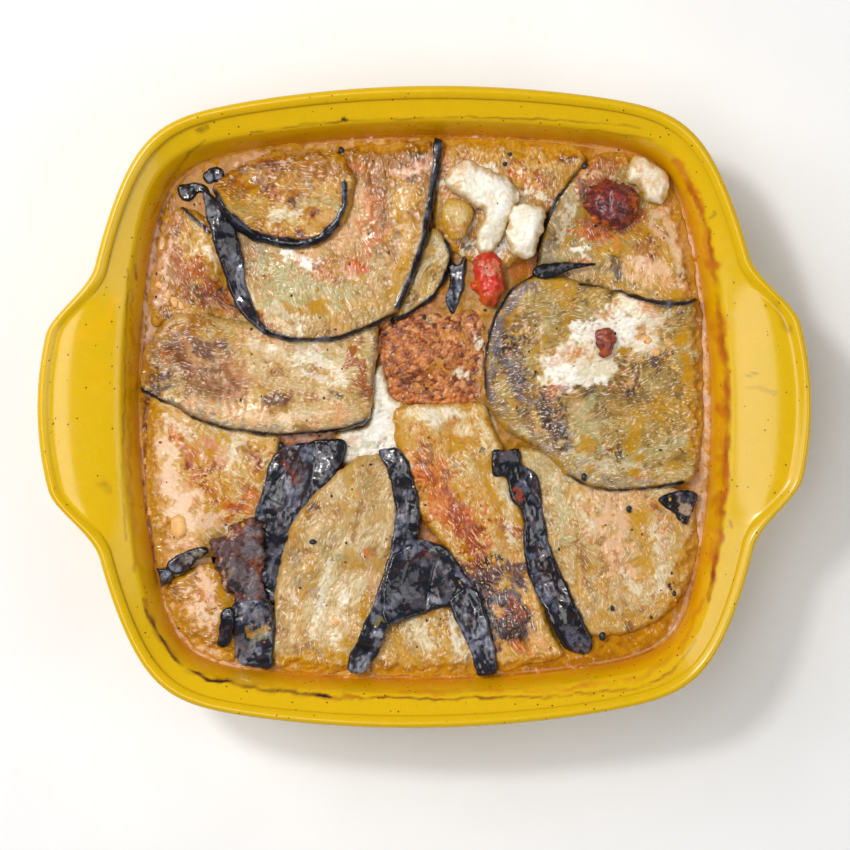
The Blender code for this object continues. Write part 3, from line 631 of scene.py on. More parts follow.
def crumbly(surface, bias=0.0, size=5.2):
    """Grains of browned mince packed together."""
    seed = surface.seed
    warp_u = surface.u + 1.6 * noise(surface.u / 5.0, surface.v / 5.0, seed + 3)
    warp_v = surface.v + 1.6 * noise(surface.u / 5.0, surface.v / 5.0, seed + 4)
    first, second, number = cells(warp_u, warp_v, size, seed)
    small, _second, small_number = cells(warp_u, warp_v, 0.45 * size, seed + 6)
    cloud = fractal(surface.u, surface.v, 22.0, seed + 8, 3)
    fine = fractal(surface.u, surface.v, 2.6, seed + 12, 2)
    # Painted shade: darker in the narrow gaps between grains.
    surface.tone = (bias + 1.05 * (number - 0.5) + 0.65 * (small_number - 0.5) + 0.45 * cloud
                    + 0.4 * fine - 0.6 * smooth_step((0.10 - (second - first)) / 0.1))
    surface.glints = 0.30
    surface.lift = 3.0 * (0.6 - first) + 1.6 * (0.6 - small) + 1.6 * cloud
    surface.dull = 0.22 + 0.10 * number


def craggy(surface, bias=0.0, relief=1.0):
    """Ridged crust or pulp."""
    seed = surface.seed
    crag = 1.0 - 2.0 * np.abs(fractal(surface.u, surface.v, 9.0, seed, 4))
    mottle = fractal(surface.u, surface.v, 7.0, seed + 5, 4)
    speck = fractal(surface.u, surface.v, 2.8, seed + 8, 3)
    surface.tone = bias + 0.6 * mottle + 0.3 * crag + 0.35 * speck
    surface.lift = relief * (1.4 * crag + 1.2 * mottle + 0.5 * speck)
    surface.dull = 0.16 + 0.10 * np.abs(mottle)


def pulpy(surface, bias):
    """Smooth soft pulp in round lumps."""
    seed = surface.seed
    lump = fractal(surface.u, surface.v, 9.0, seed, 3)
    fine = fractal(surface.u, surface.v, 3.0, seed + 7, 3)
    surface.tone = bias + 0.5 * lump + 0.25 * fine
    surface.lift = 2.0 * lump + 0.6 * fine
    surface.dull = np.full(len(surface.u), 0.16)


# Pieces

def cut_grid(polygon, step, ragged, seed):
    """Even grid over an outline that wanders by ragged, with its border points on it."""
    low = polygon.min(axis=0) - 2.0 * step
    high = polygon.max(axis=0) + 3.0 * step
    x, y = np.meshgrid(np.arange(low[0], high[0], step), np.arange(low[1], high[1], step),
                       indexing="ij")
    edge = edge_distance(polygon, x, y)
    edge += ragged * fractal(x, y, OUTLINE_GRAIN, seed + 70, 4)
    middle = (edge[:-1, :-1] + edge[1:, :-1] + edge[:-1, 1:] + edge[1:, 1:]) / 4.0
    kept = middle > 0.0
    used = np.zeros(x.shape, bool)
    full = np.ones(x.shape, bool)
    full[0, :] = full[-1, :] = full[:, 0] = full[:, -1] = False
    for di in (0, 1):
        for dj in (0, 1):
            window = (slice(di, kept.shape[0] + di), slice(dj, kept.shape[1] + dj))
            used[window] |= kept
            full[window] &= kept
    border = used & ~full
    slope_x, slope_y = np.gradient(edge, step)
    steep = np.maximum(slope_x ** 2 + slope_y ** 2, 0.2)
    furthest = 0.8 * step
    x = np.where(border, x + np.clip(-edge * slope_x / steep, -furthest, furthest), x)
    y = np.where(border, y + np.clip(-edge * slope_y / steep, -furthest, furthest), y)
    edge = np.where(border, 0.0, np.maximum(edge, 0.15 * step))
    return {"x": x, "y": y, "edge": edge, "kept": kept, "used": used,
            "slope_x": slope_x, "slope_y": slope_y}


def border_edges(kept, index):
    """Edges of the kept cells that have no kept cell beyond them."""
    padded = np.pad(kept, 1)
    sides = ((padded[1:-1, :-2], (0, 0), (1, 0)), (padded[1:-1, 2:], (1, 1), (0, 1)),
             (padded[:-2, 1:-1], (0, 1), (0, 0)), (padded[2:, 1:-1], (1, 0), (1, 1)))
    edges = []
    for neighbour, start, end in sides:
        i, j = np.nonzero(kept & ~neighbour)
        edges.append(np.column_stack((index[i + start[0], j + start[1]],
                                      index[i + end[0], j + end[1]])))
    return np.vstack(edges)


def underside(cut, grid, step, lower_points, loops, first_lower):
    """Faces that close a piece from below, and the inner points that they add.

    The lower points run along the border, and the first of them has that number.
    """
    stride = max(1, round(CAP_STEP / step))
    inner = np.zeros(cut["x"].shape, bool)
    inner[::stride, ::stride] = True
    inner &= cut["used"] & (cut["edge"] > CAP_INSET)
    inner_x = cut["x"][inner]
    inner_y = cut["y"][inner]
    flat = [Vector((x, y)) for x, y, _z in lower_points]
    flat += [Vector((x, y)) for x, y in zip(inner_x, inner_y)]
    points, _edges, faces, sources, _from_edges, _from_faces = geometry.delaunay_2d_cdt(
        flat, loops, [], 1, WELD_GAP)
    inner_base = read_field(grid, "base", inner_x, inner_y) - CAP_RISE
    places = []
    extra = []
    for point, source in zip(points, sources):
        known = [number for number in source if number < len(lower_points)]
        if known:
            places.append(first_lower + known[0])
            continue
        if source:
            height = inner_base[source[0] - len(lower_points)]
        else:
            height = float(read_field(grid, "base", np.array([point.x]), np.array([point.y]))[0])
        places.append(first_lower + len(lower_points) + len(extra))
        extra.append((point.x, point.y, height))
    cap = [tuple(places[corner] for corner in reversed(face)) for face in faces]
    return cap, np.array(extra).reshape(-1, 3)


def painted_surface(x, y, distance, base_look, marks, ramp, seed, look):
    """Surface of a piece with its look and all the marks on it."""
    surface = Surface(x, y, distance, seed)
    surface.ramp = ramp
    base_look(surface, **look)
    surface.apply(marks)
    if base_look is skin:
        surface.mix("umber", surface.red)
    if base_look in (flesh, crumbly):
        surface.soak()
        surface.glint(surface.glints, GLINT_GRAIN)
    surface.settle()
    return surface


def build_piece(name, node, polygon, base_look, marks, ramp, seed, rim=0.0016, ragged=0.0004,
                step=FINE_STEP, lump=False, cover=None, **look):
    """Piece of food over the form of its solid, cut to its outline, with its own relief.

    A cover is the thickness of a piece that lies on the solid's own top.
    """
    grid = survey(node, LUMP_SURVEY_STEP, 2) if lump else survey(node, SURVEY_STEP, 3)
    if cover:
        grid["base"] = grid["top"] - cover
        grid["top"] = grid["top"] + 0.3 * cover
    cut = cut_grid(polygon, step, ragged, seed)
    used = cut["used"]
    kept = cut["kept"]
    x = cut["x"][used]
    y = cut["y"][used]
    distance = cut["edge"][used]
    surface = painted_surface(x, y, distance, base_look, marks, ramp, seed, look)

    top = read_field(grid, "top", x, y)
    base = read_field(grid, "base", x, y)
    share = np.clip(distance / rim, 0.0, 1.0)
    parabola = 1.0 - (1.0 - share) ** 2
    round_off = np.sqrt(parabola) if rim < THIN_RIM else parabola
    height = base + (top - base) * (EDGE_SHARE + (1.0 - EDGE_SHARE) * round_off)
    height = height + surface.lift * UNIT * (0.25 + 0.75 * share)
    height = np.maximum(height, base + LEAST_THICKNESS)
    if base_look is flesh:
        soaked = surface.shore * (1.0 - surface.rinded)
        drop = JUICE_LEVEL + SOAKED_RISE - height
        height += drop * 0.85 * soaked * (height > JUICE_LEVEL)

    index = np.full(used.shape, -1)
    index[used] = np.arange(used.sum())
    i, j = np.nonzero(kept)
    faces = np.column_stack((index[i, j], index[i + 1, j], index[i + 1, j + 1], index[i, j + 1]))
    edges = border_edges(kept, index)
    rim_points = np.unique(edges)
    lower = {point: len(x) + number for number, point in enumerate(rim_points)}
    lower_points = np.column_stack((x[rim_points] + cut["slope_x"][used][rim_points] * SKIRT_INSET,
                                    y[rim_points] + cut["slope_y"][used][rim_points] * SKIRT_INSET,
                                    base[rim_points] - (LUMP_SINK if lump else SLICE_SINK)))
    skirt = [(b, a, lower[a], lower[b]) for a, b in edges]
    loops = [(lower[a] - len(x), lower[b] - len(x)) for a, b in edges]
    cap, extra = underside(cut, grid, step, lower_points, loops, len(x))

    vertices = np.vstack((np.column_stack((x, y, height)), lower_points, extra))
    colours = np.vstack((surface.colour, surface.colour[rim_points],
                         np.tile(surface.colour.mean(axis=0), (len(extra), 1))))
    dull = np.concatenate((surface.dull, surface.dull[rim_points], np.full(len(extra), 0.3)))
    weave = np.vstack((surface.weave, surface.weave[rim_points], np.zeros((len(extra), 3))))
    return mesh_object(name, vertices, faces.tolist() + skirt + cap,
                       np.clip(colours, 0.0, 1.0), np.clip(dull, 0.03, 0.7), weave)


def band(first, second, count):
    """Faces between two rings of count points whose first points have those numbers."""
    row = np.arange(count)
    following = (row + 1) % count
    return np.column_stack((first + row, first + following,
                            second + following, second + row)).tolist()


def loft_object(name, rings, colours, dull):
    """Skin over rings of equal point count, closed at both ends."""
    count = len(rings[0])
    points = np.vstack(rings)
    faces = []
    for number in range(len(rings) - 1):
        faces += band(number * count, (number + 1) * count, count)
    faces.append(list(range(count - 1, -1, -1)))
    faces.append(list(range(len(points) - count, len(points))))
    return mesh_object(name, points, faces, colours, dull)


def rounded(rings, rounds):
    """Cut the corners of a profile of rings."""
    for _ in range(rounds):
        softer = [rings[0]]
        for first, second in zip(rings, rings[1:]):
            softer.append(0.75 * first + 0.25 * second)
            softer.append(0.25 * first + 0.75 * second)
        softer.append(rings[-1])
        rings = softer
    return rings


def finer(rings, step):
    """Halve the gaps wider than the step about the edge of the well."""
    closer = [rings[0]]
    for first, second in zip(rings, rings[1:]):
        gap = np.linalg.norm(second - first, axis=1).mean()
        middle = (first + second) / 2.0
        at_edge = abs(middle[0, 0] - WELL_HALF_WIDTH) < 0.006 and middle[0, 2] > JUICE_LEVEL
        if at_edge and gap > step:
            closer.append(middle)
        closer.append(second)
    return closer


# Materials

WOVEN_TWIST = 0.35
SOFT_DEPTH = 0.0016
SOFT_RADII = (1.0, 0.55, 0.25)


def node_links(material):
    material.use_nodes = True
    return material.node_tree.nodes, material.node_tree.links


def mesh_value(nodes, name, output):
    """Value that the mesh carries under that name."""
    node = nodes.new("ShaderNodeAttribute")
    node.attribute_name = name
    return node.outputs[output]


def object_place(nodes):
    return nodes.new("ShaderNodeTexCoord").outputs["Object"]


def add_noise(nodes, links, size, detail=3.0, woven=False):
    """Noise with a grain of about size, over the object's coordinates or its weave."""
    texture = nodes.new("ShaderNodeTexNoise")
    texture.inputs["Scale"].default_value = 1.0 / size
    texture.inputs["Detail"].default_value = detail
    texture.inputs["Distortion"].default_value = WOVEN_TWIST if woven else 0.0
    place = mesh_value(nodes, "weave", "Vector") if woven else object_place(nodes)
    links.new(place, texture.inputs["Vector"])
    return texture.outputs["Fac"]


def remap(nodes, links, value, low, high, new_low, new_high):
    node = nodes.new("ShaderNodeMapRange")
    node.inputs["From Min"].default_value = low
    node.inputs["From Max"].default_value = high
    node.inputs["To Min"].default_value = new_low
    node.inputs["To Max"].default_value = new_high
    links.new(value, node.inputs["Value"])
    return node.outputs["Result"]


def blended(nodes, links, colour, share, other):
    """Colour drawn towards a fixed one by a share."""
    node = nodes.new("ShaderNodeMix")
    node.data_type = "RGBA"
    links.new(share, node.inputs["Factor"])
    links.new(colour, node.inputs[6])
    node.inputs[7].default_value = (*linear(other), 1.0)
    return node.outputs[2]


def combined(nodes, links, operation, first, second):
    node = nodes.new("ShaderNodeMath")
    node.operation = operation
    links.new(first, node.inputs[0])
    links.new(second, node.inputs[1])
    return node.outputs[0]


def speckled(nodes, links, colour, size, share, speck_colour):
    """Colour with round specks about size apart, over a share of the surface."""
    texture = nodes.new("ShaderNodeTexVoronoi")
    texture.inputs["Scale"].default_value = 1.0 / size
    links.new(object_place(nodes), texture.inputs["Vector"])
    spot = remap(nodes, links, texture.outputs["Distance"], 0.07, 0.13, 1.0, 0.0)
    wide = add_noise(nodes, links, 8.0 * size)
    patch = remap(nodes, links, wide, 0.64 - share, 0.66 - share, 1.0, 0.0)
    weight = combined(nodes, links, "MULTIPLY", spot, patch)
    return blended(nodes, links, colour, weight, speck_colour)


def painted_material(name, grain, depth, mottle=0.12, soft=0.0, shine=0.5, specks=None,
                     thread=0.0, flecks=()):
    """Material that takes colour and dullness from the mesh and adds fine grain.

    The grain is the size of the finest bumps in metres, and the depth is their height.
    A thread is the width on the plan of fibres that follow the mesh's weave. Flecks
    are rows of size, low and high end of the noise that shows them, strength and colour.
    """
    material = bpy.data.materials.new(name)
    nodes, links = node_links(material)
    shader = nodes["Principled BSDF"]
    dull = mesh_value(nodes, "dull", "Fac")

    fine = add_noise(nodes, links, thread or grain, 3.0, thread > 0.0)
    wide = add_noise(nodes, links, 3.5 * grain, 4.0)
    shade = remap(nodes, links, fine, 0.3, 0.7, 1.0 - mottle, 1.0 + mottle)
    tint = nodes.new("ShaderNodeMix")
    tint.data_type = "RGBA"
    tint.blend_type = "MULTIPLY"
    tint.inputs["Factor"].default_value = 1.0
    links.new(mesh_value(nodes, "paint", "Color"), tint.inputs[6])
    links.new(shade, tint.inputs[7])
    colour = tint.outputs[2]
    if specks:
        colour = speckled(nodes, links, colour, *specks)
    rough = remap(nodes, links, dull, 0.10, 0.15, 0.0, 1.0)
    for size, low, high, strength, fleck_colour in flecks:
        grains = add_noise(nodes, links, size, 2.0, True)
        fleck = remap(nodes, links, grains, low, high, 0.0, strength)
        weight = combined(nodes, links, "MULTIPLY", fleck, rough)
        colour = blended(nodes, links, colour, weight, fleck_colour)
    links.new(colour, shader.inputs["Base Color"])

    vary = remap(nodes, links, wide, 0.3, 0.7, 0.8, 1.25)
    links.new(combined(nodes, links, "MULTIPLY", dull, vary), shader.inputs["Roughness"])

    bump = nodes.new("ShaderNodeBump")
    bump.inputs["Distance"].default_value = depth
    strength = remap(nodes, links, dull, 0.05, 0.18, 0.05, 1.0)
    links.new(strength, bump.inputs["Strength"])
    links.new(combined(nodes, links, "ADD", fine, wide), bump.inputs["Height"])
    links.new(bump.outputs["Normal"], shader.inputs["Normal"])
    if soft:
        shader.inputs["Subsurface Weight"].default_value = soft
        shader.inputs["Subsurface Radius"].default_value = SOFT_RADII
        shader.inputs["Subsurface Scale"].default_value = SOFT_DEPTH
    shader.inputs["Specular IOR Level"].default_value = shine
    return material


MATERIALS = {
    "glaze": painted_material("glaze_look", 0.0009, 0.00002, 0.03, shine=0.4,
                              specks=(0.0034, 0.07, (90, 60, 8))),
    "juice": painted_material("juice_look", 0.0007, 0.00005, 0.14, shine=0.25),
    "flesh": painted_material("flesh_look", 0.00055, 0.00024, 0.17, soft=0.06, shine=0.4,
                              thread=1.2,
                              # The palest flecks are painted highlights.
                              flecks=((1.6, 0.60, 0.63, 0.60, (252, 230, 202)),
                                      (2.1, 0.37, 0.33, 0.36, (150, 84, 22)),
                                      (3.6, 0.62, 0.65, 0.34, (206, 116, 26)))),
    "skin": painted_material("skin_look", 0.0008, 0.00004, 0.25),
    "cheese": painted_material("cheese_look", 0.0005, 0.00016, 0.06, soft=0.2),
    "mince": painted_material("mince_look", 0.0005, 0.00022, 0.22),
    "tomato": painted_material("tomato_look", 0.0006, 0.00012, 0.15, soft=0.15),
    "charred": painted_material("charred_look", 0.0005, 0.00022, 0.25),
    "pepper": painted_material("pepper_look", 0.0004, 0.00012, 0.25),
}


def dress(piece, material, slot, *nodes):
    piece.data.materials.append(MATERIALS[material])
    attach(piece, "root")
    if nodes:
        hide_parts(*nodes)


# Dish

# Baked lines and specks on the glaze: colour, strength, width and path on the plan
DISH_MARKS = (
    ("rust", 0.55, 4.0, ((143, 600), (160, 640), (190, 672), (230, 683), (307, 694), (360, 698))),
    ("umber", 1.0, 2.3, ((146, 610), (172, 657), (205, 678), (262, 689), (330, 696))),
    ("rust", 0.60, 2.0, ((360, 698), (450, 699), (560, 696), (640, 688), (672, 672), (697, 640))),
    ("brown", 0.60, 1.4, ((372, 698), (450, 699), (560, 696))),
    ("orange", 0.45, 4.0, ((400, 692), (470, 692), (560, 689), (640, 679), (680, 651), (702, 600))),
    ("brown", 0.40, 1.6, ((300, 124), (380, 119), (460, 117), (540, 119), (620, 125), (640, 128))),
    ("brown", 0.35, 1.6, ((590, 130), (625, 135), (652, 140))),
    ("brown", 0.45, 1.4, ((250, 132), (300, 126), (345, 121))),
    ("rust", 0.85, 4.0, ((687, 180), (710, 232), (718, 304), (727, 375), (728, 450), (720, 540),
                         (708, 600))),
    ("orange", 0.65, 7.0, ((676, 160), (700, 205), (716, 290), (724, 380), (724, 470), (712, 560))),
    ("brown", 0.45, 1.6, ((128, 270), (126, 330), (125, 400), (122, 470), (126, 540))),
    ("rust", 0.35, 3.0, ((133, 290), (130, 380), (129, 470), (136, 570))),
    ("brown", 0.40, 2.0, ((205, 140), (190, 152), (172, 176), (152, 215))),
    ("umber", 0.80, 2.6, ((136, 266), (137, 278))),
    ("umber", 0.85, 3.0, ((343, 119), (347, 121))),
    ("brown", 0.60, 4.0, ((197, 131), (207, 128))),
    ("brown", 0.70, 2.2, ((711, 218), (716, 212))),
    ("brown", 0.80, 2.0, ((730, 522), (732, 528))),
    ("brown", 0.65, 1.8, ((750, 376), (757, 372))),
    ("brown", 0.35, 5.0, ((103, 480), (110, 492))),
    ("brown", 0.35, 5.0, ((770, 300), (783, 320), (788, 332))),
    ("brown", 0.30, 3.0, ((752, 388), (776, 392))),
    ("ochre", 0.50, 8.0, ((60, 340), (100, 330), (116, 300))),
)


class Glaze(Surface):
    """Glaze of the dish, on the plan drawing at each point's own height."""

    def __init__(self, points, seed):
        super().__init__(points[:, 0], points[:, 1], np.zeros(len(points)), seed)
        self.u, self.v = to_sheet(points[:, 0], points[:, 1], points[:, 2])


def build_dish():
    """Dish from the foot over the outer wall and the rim to the floor of the well."""
    outer = outline(HALF_WIDTH, HALF_LENGTH, handle=1.0)
    inner = outline(WELL_HALF_WIDTH, WELL_HALF_LENGTH, WELL_SHAPE)
    weight = handle_weight(outer[:, 0], outer[:, 1])
    width = np.linalg.norm(outer - inner, axis=1)[:, None]

    def well(half_width, half_length, height):
        return ring(outline(half_width, half_length, WELL_SHAPE), height)

    def across(share, height):
        return ring(inner + (outer - inner) * share, height)

    def from_edge(distance, height):
        return ring(outer + (inner - outer) * distance / width, height)

    rings = [
        well(0.0840, 0.0795, 0.0014), well(0.0862, 0.0817, 0.0), well(0.0925, 0.0877, 0.0),
        well(0.0972, 0.0922, 0.0026), well(0.1036, 0.0985, 0.0096), well(0.1096, 0.1043, 0.0225),
        well(0.1150, 0.1094, 0.0440), well(0.1172, 0.1114, 0.0525), across(0.36, 0.0565),
        from_edge(0.0034, 0.0588), from_edge(0.0008, 0.0606), from_edge(0.0, 0.0628),
        from_edge(0.0005, 0.0644), from_edge(0.0018, 0.0652), from_edge(0.0032, 0.0648),
        from_edge(0.0052, 0.0632), across(0.66, 0.0624 + 0.0010 * weight),
        across(0.50, 0.0615 + 0.0012 * weight), across(0.20, 0.0598 + 0.0012 * weight),
        across(0.0, 0.0586 + 0.0006 * weight),
        well(WELL_HALF_WIDTH - 0.0012, WELL_HALF_LENGTH - 0.0012, 0.0570),
        well(0.1110, 0.1056, 0.0500), well(0.1093, 0.1039, 0.0434), well(0.1045, 0.0993, 0.0200),
        well(0.1010, 0.0959, 0.0110), well(0.0940, 0.0893, 0.0075), well(0.0860, 0.0817, 0.0070),
    ]
    rings = rounded(rings[:8], 1)[:-1] + finer(rounded(rings[7:], 2), STAIN_STEP)
    points = np.vstack(rings)
    glaze = Glaze(points, 5)
    level = points[:, 2]
    glaze.colour = np.tile(linear(COLOURS["dishyellow"]), (len(points), 1))
    crest = int(np.argmax([level_ring[:, 2].max() for level_ring in rings]))
    food_side = np.repeat(np.arange(len(rings)) > crest, DISH_POINTS)
    inside_well = edge_inside(points) * food_side
    # Painted light: below the rim, the wall of the well is painted a warmer, brighter yellow than the
    # rest of the glaze, standing in for how it is lit.
    glaze.mix("ochre", 0.8 * inside_well * smooth_step((0.0600 - level) / 0.006))
    glaze.mix("ochre", 0.2 * smooth_step(fractal(glaze.u, glaze.v, 45.0, 8, 3)))
    glaze.texture = fractal(glaze.u, glaze.v, 26.0, 95, 3)
    glaze.wander = 16.0
    for what, strength, reach, path in DISH_MARKS:
        patchy = np.clip(0.8 + 0.9 * glaze.texture, 0.0, 1.25)
        weight = strength * glaze.near(path, reach, 0.35) * patchy
        glaze.mix(what, weight * food_side * (level > JUICE_LEVEL + 0.0010))
    stain = smooth_step(0.75 + 0.8 * fractal(glaze.u, glaze.v, 60.0, 63, 3)) * inside_well
    glaze.mix("orange", 0.50 * stain * smooth_step((0.0560 - level) / 0.0090))
    glaze.mix("orange", 0.60 * inside_well * smooth_step((0.0462 - level) / 0.0018))
    glaze.dull = 0.19 + 0.03 * glaze.texture
    glaze.colour *= (1.0 + 0.03 * fractal(glaze.u, glaze.v, 12.0, 77, 3))[:, None]
    dish = loft_object("baking_dish_look", rings, np.clip(glaze.colour, 0.0, 1.0),
                       np.clip(glaze.dull, 0.06, 0.4))
    dress(dish, "glaze", "yellow_glaze", "baking_dish")


def edge_inside(points):
    """1 for points on the inner side of the well's edge."""
    reach = reach_at(EDGE_REACH, points[:, 0], points[:, 1])
    return (np.hypot(points[:, 0], points[:, 1]) < reach + EDGE_MARGIN).astype(float)


# Juice

# The pink and peach marks on the juice, and those of thin wet pools, are painted reflections of the light
# on its surface.
JUICE_MARKS = (
    ("tone", -0.9, 6.0, ((156, 205), (149, 300), (146, 360), (146, 480), (150, 560))),
    ("pink", 0.45, 5.0, ((150, 230), (158, 262), (152, 300), (146, 345))),
    ("pink", 0.45, 4.0, ((148, 410), (150, 450), (145, 500))),
    ("pink", 0.50, 7.0, ((240, 152), (262, 160), (285, 165))),
    ("umber", 0.45, 7.0, ((168, 184), (158, 214), (146, 262), (142, 330))),
    ("peach", 0.35, 8.0, ((600, 144), (660, 160), (690, 210))),
    ("peach", 0.65, 9.0, ((692, 240), (700, 320), (704, 420), (700, 520), (684, 585))),
    ("deep", 0.60, 9.0, ((690, 590), (670, 630), (630, 660), (560, 672), (500, 678))),
    ("peach", 0.50, 8.0, ((165, 610), (190, 650), (225, 672), (240, 678))),
    ("orange", 0.45, 7.0, ((250, 678), (330, 683), (420, 686), (520, 682), (620, 668))),
    ("rust", 0.40, 4.0, ((300, 140), (380, 134), (470, 133), (560, 134))),
    ("film", 0.55, 7.0, ((152, 215), (150, 260), (148, 330))),
    ("film", 0.8, 8.0, ((696, 230), (704, 330), (704, 430), (698, 540))),
    ("film", 0.8, 8.0, ((170, 610), (200, 655), (235, 672))),
)


def build_juice():
    """Juice between the food and the wall, drawn up a little where it wets the wall."""
    inward = np.concatenate((np.arange(0.0, 0.0036, 0.0003), np.arange(0.0038, 0.0230, 0.0006)))
    rings = []
    for distance in inward:
        level = JUICE_LEVEL + MENISCUS_HEIGHT * math.exp(-distance / MENISCUS_WIDTH)
        flat = outline(JUICE_HALF_WIDTH - distance, JUICE_HALF_LENGTH - distance, WELL_SHAPE,
                       count=JUICE_POINTS)
        swell = 0.00024 * fractal(flat[:, 0], flat[:, 1], 0.011, 3, 3)
        swell += 0.00010 * fractal(flat[:, 0], flat[:, 1], 0.0030, 9, 2)
        rings.append(ring(flat, level + swell * min(1.0, distance / 0.001)))
    top = np.vstack(rings)
    juice = Surface(top[:, 0], top[:, 1], np.repeat(inward, JUICE_POINTS), 21)
    juice.ramp = "amber"
    juice.tone = -0.1 + 0.5 * fractal(juice.u, juice.v, 26.0, 41, 4)
    juice.tone += 0.5 * fractal(juice.u, juice.v, 6.0, 45, 4)
    juice.apply(JUICE_MARKS)
    # Painted reflection of the light in the meniscus: a broken pink line a little in from the wall.
    broken = smooth_step(1.4 * fractal(juice.u, juice.v, 40.0, 47, 3) + 0.7)
    juice.mix("pink", 0.55 * broken * smooth_step(1.0 - np.abs(juice.edge - 3.0) / 1.2))
    juice.mix("orange", 0.35 * smooth_step(1.0 - juice.edge / 1.6))
    juice.glint(0.30, 2.6)
    juice.dull = 0.09 + 0.04 * juice.texture
    juice.settle()
    lower = [ring(outline(half_width, half_length, WELL_SHAPE, count=JUICE_POINTS), height)
             for half_width, half_length, height in (
                 (0.0934, 0.0889, JUICE_LEVEL - 0.0020), (0.0934, 0.0889, 0.0081),
                 (0.0970, 0.0922, 0.0097), (0.1005, 0.0954, 0.0114), (0.1040, 0.0988, 0.0202),
                 (0.1088, 0.1034, 0.0430))]
    points = np.vstack((top, np.vstack(lower)))
    total = len(inward) + len(lower)
    faces = []
    for number in range(total):
        faces += band(number * JUICE_POINTS, (number + 1) % total * JUICE_POINTS, JUICE_POINTS)
    below = len(lower) * JUICE_POINTS
    colours = np.vstack((juice.colour, np.tile(linear(COLOURS["amber"]), (below, 1))))
    dull = np.concatenate((juice.dull, np.full(below, 0.1)))
    pool = mesh_object("cooking_juice_look", points, faces, np.clip(colours, 0.0, 1.0),
                       np.clip(dull, 0.03, 0.3))
    dress(pool, "juice", "amber_juice", "cooking_juice")


# Food

# Marks: what, strength, width and path on the plan
CORE = outline(0.0930, 0.0885, WELL_SHAPE, count=240)
CORE_MARKS = (
    ("amber", 0.6, 400.0, ((420, 420), (430, 430))),
    ("orange", 0.5, 16.0, ((262, 436), (282, 444), (300, 438))),
    # The gleam mark is a painted highlight.
    ("gleam", 0.6, 5.0, ((284, 440), (330, 436))),
    ("cream", 0.7, 6.0, ((268, 440), (276, 452), (272, 470))),
    ("amber", 0.9, 30.0, ((170, 170), (200, 200), (160, 380), (150, 560), (200, 640))),
    ("cream", 0.8, 8.0, ((480, 412), (490, 436), (500, 452))),
    ("orange", 0.7, 12.0, ((506, 268), (530, 262), (560, 282))),
    ("amber", 0.9, 30.0, ((560, 640), (640, 640), (690, 600), (700, 500))),
    ("purple", 0.5, 8.0, ((398, 548), (416, 540))),
    ("amber", 0.8, 16.0, ((500, 460), (520, 470), (540, 470))),
)
MINCE_PATCH = ((379, 328), (402, 316), (430, 311), (450, 312), (470, 308), (484, 318), (486, 345),
               (484, 380), (480, 404), (462, 408), (440, 407), (405, 405), (384, 396), (376, 380),
               (378, 350))
MINCE_MARKS = (
    ("tone", -0.35, 9.0, ((392, 345), (400, 380))),
    ("tone", 0.35, 8.0, ((440, 330), (462, 345))),
    ("orange", 0.5, 6.0, ((388, 390), (430, 402), (470, 402))),
    ("cream", 0.9, 5.5, ((455, 370), (466, 376))),
    ("cream", 0.8, 3.5, ((474, 335), (478, 346), (482, 340))),
    ("green", 0.6, 4.0, ((428, 316), (431, 318))),
    # Painted reflection along the wet right edge of the patch.
    ("peach", 0.7, 2.2, ((481, 355), (480, 378), (478, 397))),
    ("film", 0.6, 3.0, ((481, 355), (480, 378), (478, 397))),
    ("purple", 0.4, 6.0, ((470, 390), (476, 380))),
)

